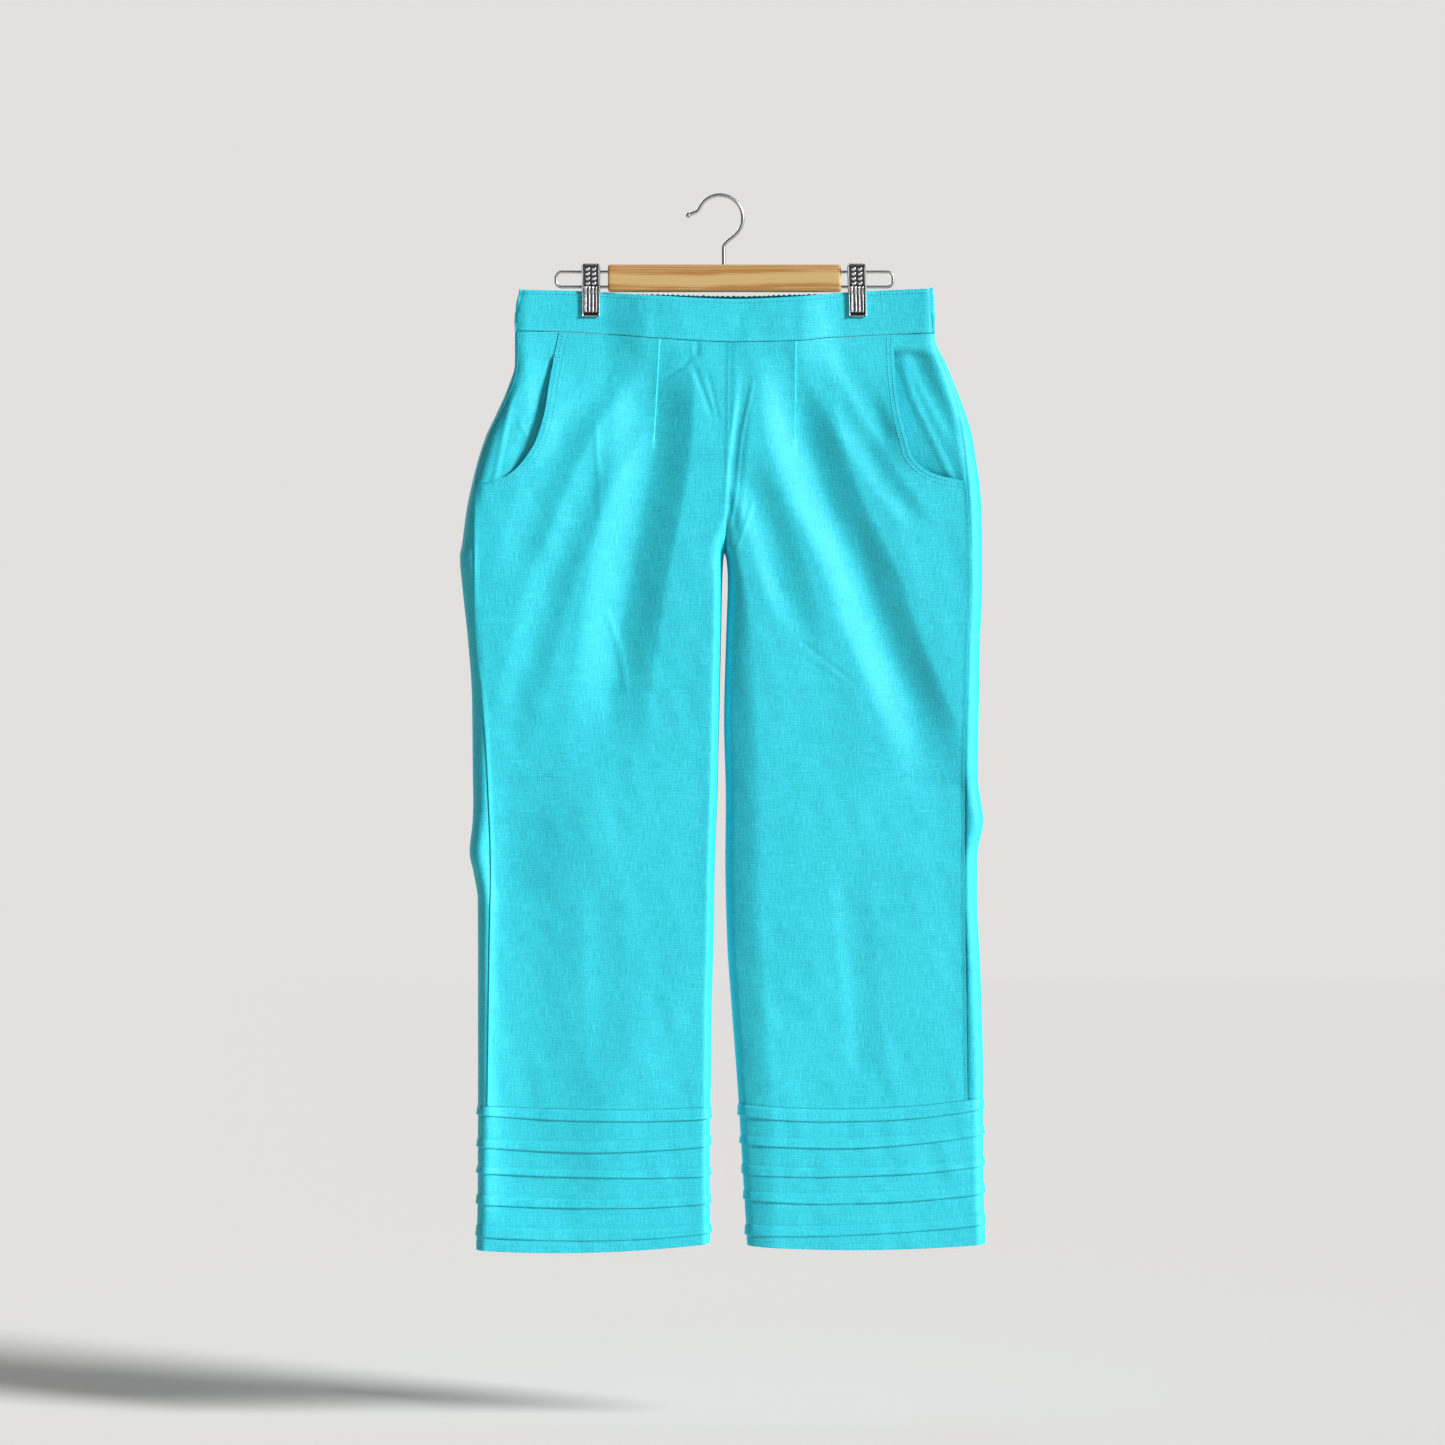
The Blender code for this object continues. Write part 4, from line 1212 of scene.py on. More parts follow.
@dataclass(frozen=True)
class Metal:
    """Plated metal with fine wear and, when pressed, painted shade in the pressing's hollows."""

    name: str
    bright: tuple[float, float, float]
    dull: tuple[float, float, float]
    roughness: float
    wear: float
    relief: float
    # pressed: whether the pressing's hollows get painted shade; the share below sets how dark that painted
    # shade is.
    pressed: bool = False
    groove_shade_share: float = 0.14

    def material(self) -> bpy.types.Material:
        """Makes the material."""
        graph = Graph(self.name)
        place = graph.object_place()
        spots = graph.noise(place, (260, 260, 260), 4)
        drawn = graph.noise(place, (1400, 1400, 300), 2, 0.6)
        worn = spots.ramp(0.42, 0.72) * self.wear
        colour = graph.mix(worn, self.bright, self.dull)
        if self.pressed:
            # Painted shade: the colour darkens where the pressing lies low, in its grooves and hollows, where
            # shade would fall.
            pressing = graph.node("ShaderNodeAttribute", {"attribute_name": "raised"})
            raised = Value(graph, pressing.outputs["Fac"])
            hollow = tuple(part * self.groove_shade_share for part in self.dull)
            colour = graph.mix(raised.ramp(0.05, 0.75), hollow, colour)
        return graph.surface(
            Base_Color=colour,
            Metallic=1.0,
            Roughness=self.roughness + worn * 0.2 + (drawn - 0.5) * 0.12,
            Normal=graph.bump(spots * 0.5 + drawn * 0.5, 0.0003, self.relief),
        )


# Sewing

@dataclass
class Stitching:
    """Rows of single stitches, joined into one piece."""

    name: str
    pitch: float = 3.1
    stitch: float = 2.35
    thick: float = 0.3
    sides: int = 5
    _points: list[Grid] = field(default_factory=list)

    def row(self, line: Grid, outward: Grid, pitch: float | None = None) -> None:
        """Sews a row of stitches.

        Args:
            line: a close row of points on the cloth, in millimetres.
            outward: the cloth's outward direction at each point.
            pitch: how far the stitches are apart, where it isn't the usual.
        """
        pitch = pitch or self.pitch
        length = np.concatenate([[0], np.cumsum(np.linalg.norm(np.diff(line, axis=0), axis=1))])
        count = int(length[-1] / pitch)
        at = (np.arange(count) + 0.5) * pitch
        reach = self.stitch * pitch / self.pitch / 2

        def read_at(values: Grid, where: Grid) -> Grid:
            """Reads rows of vectors at lengths along the line."""
            return np.stack([np.interp(where, length, values[:, i]) for i in range(3)], axis=-1)

        centre = read_at(line, at)
        forward = read_at(line, at + reach) - read_at(line, at - reach)
        forward /= np.maximum(np.linalg.norm(forward, axis=1), 1e-9)[:, None]
        out = read_at(outward, at)
        out /= np.maximum(np.linalg.norm(out, axis=1), 1e-9)[:, None]
        beside = np.cross(forward, out)
        angles = np.linspace(0, 2 * np.pi, self.sides, endpoint=False)
        rings = []
        for share, size, stands in ((-1, 0.45, -0.1), (-0.55, 1, 0.14), (0.55, 1, 0.14), (1, 0.45, -0.1)):
            middle = centre + forward * share * reach + out * stands
            rings.append(
                middle[:, None]
                + self.thick * size * (
                    np.cos(angles)[None, :, None] * out[:, None]
                    + np.sin(angles)[None, :, None] * beside[:, None]
                )
            )
        self._points.append(np.stack(rings, axis=1))

    def piece(self, material: bpy.types.Material) -> bpy.types.Object:
        """Joins the rows into one object that rides with the cloth."""
        points = np.concatenate(self._points)
        count, rings, sides = points.shape[:3]
        one = grid_faces(rings, sides, 0, True).tolist()
        one += [list(range(sides)), list(range((rings - 1) * sides, rings * sides))]
        size = rings * sides
        faces = [[i + number * size for i in face] for number in range(count) for face in one]
        thing = add_object(self.name, solid_mesh(self.name, points, faces, 70), material)
        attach(thing, BODY)
        return thing


@dataclass
class Sewn:
    thing: bpy.types.Object
    flat: tuple[float, float]
    area: float


@dataclass
class Tailor:
    """Turns a form's points into cloth pieces."""

    linen: bpy.types.Material

    def sew(
        self,
        name: str,
        node: str,
        outer: Grid,
        inner: Grid,
        cut: Grid,
        closed: bool = False,
    ) -> Sewn:
        """Makes a piece that stands for a node.

        Args:
            name: the piece's name.
            node: the node that it stands for.
            outer: its outside, as rows of points.
            inner: its inside.
            cut: the places on the flat cloth.
            closed: whether the rows close on themselves.

        Returns:
            The piece, with the size of its cut.
        """
        thing = add_object(name, shell_mesh(name, outer, inner, cut, closed), self.linen)
        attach(thing, BODY)
        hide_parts(node)
        wide, tall = np.ptp(cut[..., 0]), np.ptp(cut[..., 1])
        area = cloth_area(outer, closed) * MM * MM
        log.info("%s: %d faces, %.0f by %.0f mm", name, len(thing.data.polygons), wide, tall)
        return Sewn(thing, (wide * MM, tall * MM), min(area, wide * tall * MM * MM))


def cloth_area(points: Grid, closed: bool) -> float:
    """Returns the area of a grid of points, in its own units squared."""
    if closed:
        points = np.concatenate([points, points[:, :1]], axis=1)
    a, b = points[1:, 1:] - points[:-1, :-1], points[1:, :-1] - points[:-1, 1:]
    return float(np.linalg.norm(np.cross(a, b), axis=-1).sum() / 2)


def flat_places(points: Grid, down: Grid, closed: bool = False) -> Grid:
    """Lays a grid of points out flat.

    Args:
        points: rows of points.
        down: how far down the cloth each row is.
        closed: whether the rows close on themselves.

    Returns:
        The places across and down, with the middle column straight.
    """
    steps = np.linalg.norm(np.diff(points, axis=1), axis=-1)
    across = np.concatenate([np.zeros((len(points), 1)), np.cumsum(steps, axis=1)], axis=1)
    across -= across[:, across.shape[1] // 2][:, None]
    return np.stack([across, np.broadcast_to(down, across.shape)], axis=-1)


# Cloth pieces

@dataclass
class Leg:
    """One leg: its front, its back, its pocket facing and its hem band."""

    side: Side
    form: Form
    tailor: Tailor
    thread: bpy.types.Material
    fine_step: float = 2.3
    coarse_step: float = 4.2
    fine_above: float = -500.0
    column_step: float = 2.5
    pleat_rise: float = 1.3
    pleat_reach: float = 12.0
    pleat_edge: float = 0.9
    pleat_gone: float = -262.0
    pleat_fades_over: float = 45.0
    centre_dip: float = 0.9
    centre_rise: float = 0.6
    welt: float = 0.75
    gather_pitch: float = 9.6
    gather_rise: float = 1.15
    fall_pitch: float = 23.0
    fall_rise: float = 1.5
    strip_width: float = 14.0
    front_cut: float = 250.0
    back_cut: float = 270.0
    pocket_top: float = -131.0
    lift: float = 2.4
    lift_reach: float = 26.0
    facing_least: float = 0.8
    facing_underlap: float = 11.0
    facing_below: float = 6.0

    # The height at which a pocket starts to stand open, and how deep its facing lies at the pocket edge
    FACING_OPENS = {Side.LEFT: -150, Side.RIGHT: -146}
    FACING_DROP = {Side.LEFT: 4.2, Side.RIGHT: 8.0}
    # How far the back's strip beside the side seam leans in, and how far it dips at the seam
    SIDE_STRIP = {Side.LEFT: (0.2, 0.3), Side.RIGHT: (1.8, 0.8)}
    PLEAT = {
        Side.LEFT: ((-139, -58.8), (-180, -61), (-235, -64.1), (-300, -66)),
        Side.RIGHT: ((-141, 74.5), (-180, 74), (-230, 73.5), (-300, 73)),
    }

    @property
    def top_tuck(self) -> tuple[float, float, float]:
        """The heights of the hem band's seam, at its left, middle and right."""
        return TUCKS[self.side][0][:3]

    def levels(self) -> Grid:
        """Returns the heights of the rows down a leg."""
        heights = [float(WAIST_SEAM_ABOUT)]
        while heights[-1] > HEM_BAND_ABOUT:
            coarse = ease((self.fine_above - heights[-1]) / 120)
            heights.append(heights[-1] - self.fine_step - (self.coarse_step - self.fine_step) * float(coarse))
        levels = np.array(heights)
        share = (levels[0] - levels) / (levels[0] - levels[-1])
        return WAIST_SEAM_ABOUT + share * (HEM_BAND_ABOUT - WAIST_SEAM_ABOUT)

    def bent_height(self, level: Grid, across: Grid) -> Grid:
        """Returns a row's heights, which follow the seams of the waist and of the hem band."""
        top = waist_line("seam", across) - WAIST_DROP
        bottom = across_leg(self.side, self.top_tuck, across) + SEAM_GAP / 2
        near_top, near_bottom = ease((level + 205) / 67), ease((-820 - level) / 70)
        return level + (top - WAIST_SEAM_ABOUT) * near_top + (bottom - HEM_BAND_ABOUT) * near_bottom

    def pleat_at(self, height: Grid) -> Grid:
        """Returns where the pleat's fold lies, and the line that goes on from it."""
        heights, places = zip(*reversed(self.PLEAT[self.side]))
        return smooth(heights, places, height)

    def beside_pleat(self, height: Grid, columns: Grid, start: Grid, full: Grid) -> Grid:
        """Lays the columns out so that two of them run close down both sides of the pleat.

        Args:
            height: the heights of the points.
            columns: the places of the columns, from 0 to 1.
            start: where the piece starts.
            full: where its full width ends.

        Returns:
            The new lengths.
        """
        pleat = self.form.front_along(height, self.pleat_at(height))
        share = np.mean((pleat - start) / (full - start))
        number = int(np.argmin(np.abs(columns - share)))
        at, after = columns[number : number + 2]
        near, far = pleat - self.pleat_edge / 2, pleat + self.pleat_edge / 2
        before = start + columns / at * (near - start)
        beyond = far + (columns - after) / (1 - after) * (full - far)
        return np.where(columns <= at, before, beyond)

    def grid(
        self,
        levels: Grid,
        columns: Grid,
        span: Callable[[Grid], tuple[Grid, Grid, Grid]],
        pleated: bool = False,
    ) -> tuple[Grid, Grid]:
        """Works out the heights and lengths round the section of a piece's points.

        Args:
            levels: the heights of its rows.
            columns: the places of its columns, from 0 to 1.
            span: gives, for heights, the piece's start, its end, and the end of its full width.
            pleated: whether two columns run down both sides of the pleat.

        Returns:
            The heights and the lengths, as rows.
        """
        height = np.broadcast_to(levels[:, None], (len(levels), len(columns))).copy()
        along = height
        for _ in range(3):
            start, end, full = span(height)
            kept = start + 0.5 * (full - start)
            along = start + columns[None, :] * (full - start)
            if pleated:
                along = self.beside_pleat(height, columns, start, full)
            squeezed = kept + (along - kept) / (full - kept) * (end - kept)
            along = np.where(along <= kept, along, squeezed)
            across, _ = self.form.point(height, along)
            height = self.bent_height(levels[:, None], across)
        return height, along

    def inseam(self, height: Grid) -> Grid:
        """Returns how far round the section the inseam is."""
        return np.where(height > CROTCH, 0.0, read(INSEAM, self.side.word, height))

    def front_raised(self, height: Grid, along: Grid) -> Grid:
        """Returns how far the front stands out: at its pocket edge, its pleat and its centre seam."""
        across, _ = self.form.point(height, along)
        bottom = pocket_bottom(self.side)
        down = (self.pocket_top - height) / (self.pocket_top - bottom)
        reach = self.form.front_along(height, front_end(self.side, height)) - along
        gapes = ease((down - 0.14) / 0.4) * ease((1 - down) / 0.2)
        lift = self.lift * gapes * (1 - ease(reach / self.lift_reach))
        lift = np.where(height > bottom, lift, 0.0)
        away = across - self.pleat_at(height)
        gone = ease((height - self.pleat_gone) / self.pleat_fades_over)
        pleat = self.pleat_rise * gone * np.where(away < 0, np.exp(-np.abs(away) / self.pleat_reach), 0.0)
        inner, _, _ = self.form.edges(height)
        beside = np.abs(across - inner)
        seam_gone = ease((height + 380) / 40)
        if self.side is Side.RIGHT:
            seam = -self.centre_dip * (1 - ease(beside / 7)) * seam_gone
        else:
            seam = self.centre_rise * (1 - ease((beside - 0.5) / 3)) * seam_gone
        side_seam = self.form.front_along(height, read(SIDE_SEAM, self.side.word, height)) - along
        welt = self.welt * (1 - ease((side_seam - 0.8) / 3.2)) * ease((bottom + 6 - height) / 12)
        return lift + pleat + seam + welt

    def front(self) -> Sewn:
        """Sews the front, cut away along its pocket."""

        def span(height: Grid) -> tuple[Grid, Grid, Grid]:
            """Gives the front's ends along the sections."""
            full = self.form.front_along(height, read(SIDE_SEAM, self.side.word, height))
            end = self.form.front_along(height, front_end(self.side, height))
            return self.inseam(height) + SEAM_GAP / 2, end - SEAM_GAP / 2, full - SEAM_GAP / 2

        count = int(self.front_cut / self.column_step)
        height, along = self.grid(self.levels(), edged(count, 0.35), span, pleated=True)
        out = self.front_raised(height, along)
        outer = self.form.moved(height, along, -out)
        inner = self.form.moved(height, along, CLOTH_WALL - out)
        name = f"front_leg_{self.side.word}"
        return self.tailor.sew(f"{name}_cloth", name, outer, inner, flat_places(outer, height))

    def back_raised(self, height: Grid, along: Grid) -> Grid:
        """Returns how far the back stands out below its gathers."""
        start = self.form.front_along(height, read(SIDE_SEAM, self.side.word, height))
        beyond = along - self.form.front_length(height)
        wave = 0.5 - 0.5 * np.cos(2 * np.pi * beyond / self.gather_pitch + 0.9 * np.sin(beyond / 13))
        broad = 0.5 - 0.5 * np.cos(2 * np.pi * beyond / self.fall_pitch + 1.3 * np.sin(beyond / 31))
        faded = ease((height + 215) / 75) * ease(beyond / 25)
        slow = ease((height + 330) / 180) * ease(beyond / 25)
        from_seam = along - start
        tilt, dip = self.SIDE_STRIP[self.side]
        strip = tilt * (1 - np.clip(from_seam / self.strip_width, 0, 1)) * ease((-200 - height) / 60)
        seam = -dip * (1 - ease((from_seam - 0.6) / 1.6)) - strip
        return self.gather_rise * wave * faded + self.fall_rise * broad * slow + seam

    def back(self) -> Sewn:
        """Sews the back, from the side seam round the outer fold to the inseam or the centre seam."""

        def span(height: Grid) -> tuple[Grid, Grid, Grid]:
            """Gives the back's ends along the sections."""
            start = self.form.front_along(height, read(SIDE_SEAM, self.side.word, height)) + SEAM_GAP / 2
            end = self.form.total(height) + self.inseam(height) - SEAM_GAP / 2
            return start, end, end

        count = int(self.back_cut / self.column_step)
        height, along = self.grid(self.levels(), edged(count, 0.45), span)
        out = self.back_raised(height, along)
        outer = self.form.moved(height, along, -out)
        inner = self.form.moved(height, along, CLOTH_WALL - np.minimum(out, 0.6))
        name = f"back_leg_{self.side.word}"
        return self.tailor.sew(f"{name}_cloth", name, outer, inner, flat_places(outer, height))

    def facing(self) -> Sewn:
        """Sews the facing that shows in the pocket."""
        levels = np.linspace(WAIST_SEAM_ABOUT, pocket_bottom(self.side) - self.facing_below, 62)
        last = POCKET_EDGE[self.side][-3].height

        def span(height: Grid) -> tuple[Grid, Grid, Grid]:
            """Gives the facing's ends along the sections."""
            edge = read(POCKET_EDGE[self.side], "across", np.maximum(height, last))
            start = self.form.front_along(height, edge) - self.facing_underlap
            end = self.form.front_along(height, read(SIDE_SEAM, self.side.word, height)) - SEAM_GAP
            return start, end, end

        height, along = self.grid(levels, np.linspace(0, 1, 34), span)
        start, end, _ = span(height)
        middle = (along - start) / (end - start)
        across, _ = self.form.point(height, along)
        opened = ease((self.FACING_OPENS[self.side] - height) / 12)
        drop = self.FACING_DROP[self.side] * opened * (1 - np.clip(middle / 0.96, 0, 1)) ** 0.8
        drop = np.maximum(drop, self.facing_least)
        for crease in FACING_CREASES[self.side]:
            drop = drop + crease.push(height, across)
        outer = self.form.moved(height, along, drop)
        inner = self.form.moved(height, along, drop + FACING_WALL)
        name = f"pocket_facing_{self.side.word}"
        return self.tailor.sew(f"{name}_cloth", name, outer, inner, flat_places(outer, height))

    def band_row(
        self, heights: Sequence[float], below: Sequence[float], share: float, drop: float, columns: Grid
    ) -> tuple[Grid, Grid]:
        """Works out a row round the hem band, whose line bends from the left over the middle to the right.

        Args:
            heights: a line's heights at the left, middle and right.
            below: another line's heights.
            share: how far from the first to the second the row is.
            drop: how far above that it is moved.
            columns: the places of its points, from 0 at the inner edge to 1 at the outer edge and 2 behind.

        Returns:
            The row's heights and lengths round the section.
        """
        mixed = [a + share * (b - a) for a, b in zip(heights, below)]
        height = np.full(len(columns), mixed[1] + drop)
        along = height
        for _ in range(3):
            front, total = self.form.front_length(height), self.form.total(height)
            along = np.where(columns <= 1, columns * front, front + (columns - 1) * (total - front))
            across, _ = self.form.point(height, along)
            height = across_leg(self.side, mixed, across) + drop
        return height, along

    def hem_band(self) -> Sewn:
        """Sews the hem band, with its five tucks."""
        lines = [(tuck[:3], tuck[3:]) for tuck in TUCKS[self.side]]
        hem = HEM[self.side]
        rows: list[tuple] = []
        for number, (stitch, fold) in enumerate(lines):
            below = lines[number + 1][0] if number + 1 < len(lines) else hem
            first = -SEAM_GAP / 2 if number == 0 else 0.0
            rows += [
                (stitch, fold, 0.0, first, -0.15),
                (stitch, fold, 0.0, -0.7, -0.3),
                (stitch, fold, 0.0, -1.5, 0.5),
                (stitch, fold, 0.0, -2.6, 1.0),
                (stitch, fold, 0.45, -1.0, 1.25),
                (stitch, fold, 0.75, 0.0, 1.5),
                (stitch, fold, 1.0, 1.6, 1.7),
                (stitch, fold, 1.0, 0.7, 1.72),
                (stitch, fold, 1.0, 0.15, 1.45),
                (stitch, fold, 1.0, 0.0, 1.0),
                (stitch, fold, 1.0, 0.35, 0.45),
                (stitch, fold, 1.0, 0.8, 0.0),
                (fold, below, 0.0, -0.8, -0.1),
            ]
            rows += [(fold, below, share, 0.0, 0.0) for share in (0.22, 0.4, 0.58, 0.76, 0.9)]
        rows += [(hem, hem, 0.0, 0.7, 0.0), (hem, hem, 0.0, 0.15, -0.2), (hem, hem, 0.0, 0.0, -0.55)]
        half = int(245 / 2.3)
        columns = np.concatenate([edged(half, 0.6)[:-1], 1 + edged(half, 0.6)[:-1]])
        puff = Unevenness(23, 34, 30)
        wander = Unevenness(29, 60, 25)
        outs, ins, downs = [], [], []
        for first, second, share, drop, out in rows:
            height, along = self.band_row(first, second, share, drop, columns)
            standing = max(out, 0.0)
            height = height + 0.45 * standing * wander.at(along, height)
            uneven = 1 + 0.3 * puff.at(along, height)
            outs.append(self.form.moved(height, along, -out * (uneven if out > 0 else 1)))
            ins.append(self.form.moved(height, along, HEM_WALL))
            downs.append(height)
        outer, inner = np.array(outs), np.array(ins)
        inner[..., 2] = np.minimum.accumulate(inner[..., 2], axis=0)
        name = f"hem_band_{self.side.word}"
        cut = flat_places(outer, np.array(downs))
        return self.tailor.sew(f"{name}_cloth", name, outer, inner, cut, closed=True)

    def outward(self, height: Grid, along: Grid) -> Grid:
        """Returns the outward direction of the surface."""
        return self.form.moved(height, along, -1.0) - self.form.moved(height, along, 0.0)

    def pocket_stitching(self) -> bpy.types.Object:
        """Sews the two rows beside the pocket edge, and the bar tack at its top."""
        sewing = Stitching(f"pocket_stitching_{self.side.word}")
        bottom = pocket_bottom(self.side)
        beside = (4.4, 9.0) if self.side is Side.LEFT else (2.9, 7.0)
        edge = np.array([[row.across, row.height] for row in POCKET_EDGE[self.side]])
        line = through([tuple(row) for row in edge], 1.0)
        line = line[line[:, 1] < waist_line("seam", line[:, 0]) - 1.5]
        tangent = np.gradient(line, axis=0)
        tangent /= np.linalg.norm(tangent, axis=1)[:, None]
        sideways = np.stack([tangent[:, 1], -tangent[:, 0]], axis=-1) * self.side.value
        for distance in beside:
            row = line + sideways * distance
            height = np.maximum(row[:, 1], bottom - 12)
            along = self.form.front_along(height, row[:, 0])
            out = self.front_raised(height, along)
            sewing.row(self.form.moved(height, along, -out - 0.08), self.outward(height, along))
        height = np.full(12, -157.0 if self.side is Side.LEFT else -153.5)
        end = front_end(self.side, height)
        along = self.form.front_along(height, end - self.side.value * np.linspace(0.8, 9.5, 12))
        for step in (-0.7, 0.0, 0.7):
            out = self.front_raised(height, along) + 0.1
            sewing.row(self.form.moved(height + step, along, -out), self.outward(height, along), 2.2)
        return sewing.piece(self.thread)

    def hem_stitching(self) -> bpy.types.Object:
        """Sews the stitch lines of the tucks and of the hem."""
        sewing = Stitching(f"hem_stitching_{self.side.word}", pitch=2.9, stitch=2.2, thick=0.27)
        columns = np.linspace(0, 2, 400)
        hem = HEM[self.side]
        lines = [(tuck[:3], -0.55, 0.22) for tuck in TUCKS[self.side]] + [(hem, 7.0, -0.05)]
        for heights, drop, inwards in lines:
            height, along = self.band_row(heights, heights, 0.0, drop, columns)
            sewing.row(self.form.moved(height, along, inwards), self.outward(height, along))
        return sewing.piece(self.thread)

    def make(self) -> None:
        clipped = [f"waistband_{place}_cloth" for place in ("front", "back")]
        pocket, hem = self.pocket_stitching(), self.hem_stitching()
        above = [f"{place}_leg_{self.side.word}_cloth" for place in ("front", "back")]
        for sewn, holds, pieces in (
            (self.front(), clipped[:1], [pocket]),
            (self.back(), clipped[1:], []),
            (self.facing(), clipped[:1], []),
            (self.hem_band(), above, [hem]),
        ):
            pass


def edged(count: int, to_ends: float) -> Grid:
    """Returns places from 0 to 1, closer together at both ends as to_ends goes from 0 to 1."""
    even = np.linspace(0, 1, count + 1)
    return (1 - to_ends) * even + to_ends * (0.5 - 0.5 * np.cos(np.pi * even))


@dataclass
class Waistband:
    """The plain front waistband and the gathered back one."""

    form: Form
    tailor: Tailor
    thread: bpy.types.Material
    gathers: int = 84
    gather_rise: float = 1.7

    def span(self, front: bool, height: Grid) -> tuple[Grid, Grid]:
        """Returns a band's two ends round the section."""
        length = self.form.front_length(height)
        if front:
            return np.full_like(height, WAIST_WRAP + SEAM_GAP / 2), length - WAIST_WRAP - SEAM_GAP / 2
        return length - WAIST_WRAP + SEAM_GAP / 2, self.form.total(height) + WAIST_WRAP - SEAM_GAP / 2

    def rows(self, front: bool, downs: Grid, columns: Grid) -> tuple[Grid, Grid]:
        """Works out a band's points.

        Args:
            front: whether it is the front one.
            downs: its rows, from 0 at the top edge to 1 at the seam.
            columns: its columns, from 0 to 1.

        Returns:
            Their heights and lengths round the section.
        """
        top = "front_top" if front else "back_top"
        height = np.full((len(downs), len(columns)), float(BAND_ABOUT))
        along = height
        for _ in range(3):
            start, end = self.span(front, height)
            along = start + columns[None, :] * (end - start)
            across, _ = self.form.point(height, along)
            high, low = waist_line(top, across), waist_line("seam", across) + SEAM_GAP / 2
            height = high + downs[:, None] * (low - high)
        return height, along

    def front(self) -> Sewn:
        """Sews the plain front band, doubled over at its top edge."""
        downs = np.concatenate([[0.0, 0.008, 0.025], np.linspace(0.05, 0.97, 24), [1.0]])
        height, along = self.rows(True, downs, edged(200, 0.3))
        across, _ = self.form.point(height, along)
        free = 1 - grip(across, height)
        tuft = Unevenness(41, 9, 26)
        pucker = Unevenness(43, 30, 8)
        share = downs[:, None]
        out = 0.25 * free * (tuft.at(across, height) * ease(share / 0.3) + 0.8 * pucker.at(across, height))
        out = out - 0.75 * (1 - ease(share / 0.03)) + 0.45 * np.exp(-(((share - 0.965) / 0.025) ** 2))
        outer = self.form.moved(height, along, -out)
        inner = self.form.moved(height, along, BAND_WALL - 0.5 * (1 - ease(share / 0.03)))
        return self.tailor.sew(
            "waistband_front_cloth", "waistband_front", outer, inner, flat_places(outer, height)
        )

    def gathered(self, columns: Grid, across: Grid, height: Grid) -> Grid:
        """Returns how far the gathers stand out."""
        uneven = Unevenness(53, 7, 22)
        turn = 2 * np.pi * (self.gathers * columns[None, :] + 0.28 * uneven.at(across, height))
        wave = 0.5 - 0.5 * np.cos(turn + 0.5 * np.sin(height / 7))
        size = 0.75 + 0.25 * uneven.at(across + 71, height * 0.4)
        return self.gather_rise * wave * size * (1 - grip(across, np.full_like(height, -90.0), 1.0))

    def back(self) -> Sewn:
        """Sews the back band, which its elastic gathers."""
        downs = np.concatenate([[0.0, 0.02], np.linspace(0.05, 0.97, 26), [1.0]])
        columns = np.linspace(0, 1, self.gathers * 5 + 1)
        height, along = self.rows(False, downs, columns)
        across, _ = self.form.point(height, along)
        share = downs[:, None]
        rise = self.gathered(columns, across, height)
        casing = 1 - 0.65 * sum(np.exp(-(((share - at) / 0.035) ** 2)) for at in (0.1, 0.5, 0.9))
        out = rise * casing
        height = height + (rise - 0.4 * self.gather_rise) * (1 - ease(share / 0.16))
        outer = self.form.moved(height, along, -out)
        inner = self.form.moved(height, along, BAND_WALL - 0.8 * rise * (1 - ease(share / 0.5)))
        return self.tailor.sew(
            "waistband_back_cloth", "waistband_back", outer, inner, flat_places(outer, height)
        )

    def stitching(self) -> bpy.types.Object:
        """Sews the rows along the front band's top edge and seam, and those that hold the elastic."""
        sewing = Stitching("waistband_stitching")
        columns = np.linspace(0.004, 0.996, 600)
        for front, shares in ((True, (0.09, 0.955)), (False, (0.1, 0.5, 0.9))):
            for share in shares:
                height, along = self.rows(front, np.array([share]), columns)
                height, along = height[0], along[0]
                out = 0.2
                if not front:
                    across, _ = self.form.point(height, along)
                    out = 0.4 * self.gathered(columns, across[None], height[None])[0] + 0.1
                line = self.form.moved(height, along, -out * np.ones_like(height))
                outward = self.form.moved(height, along, -1.0) - self.form.moved(height, along, 0.0)
                sewing.row(line, outward)
        return sewing.piece(self.thread)

    def make(self) -> None:
        stitching = self.stitching()
        front, back = self.front(), self.back()


# Hanger

BAR_LEFT, BAR_RIGHT = -109.8, 118.6
BAR_TOP, BAR_BOTTOM = -66.6, -93
BAR_THICK = 12
HOOK_WIRE = 1.8
HOOK_RADIUS = 22.4
STEM_AT = 3.7
STEM_TOP = -49
STEM_END = -82
HOOK_TIP = (-30.5, -17.6)
HOOK_BALL = 2.6
WIRE = 1.45
WIRE_UPPER, WIRE_LOWER = -73.5, -88.2
WIRE_REACH = {Side.LEFT: -160.7, Side.RIGHT: 169.5}
WIRE_CORNER = 5.5
WIRE_IN_BAR = 16


def finished(thing: bpy.types.Object, slot: Slot, *nodes: str) -> bpy.types.Object:
    """Rides a rigid piece on the body and hides the nodes that it stands for."""
    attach(thing, BODY)
    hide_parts(*nodes)
    log.info("%s: %d faces", thing.name, len(thing.data.polygons))
    return thing


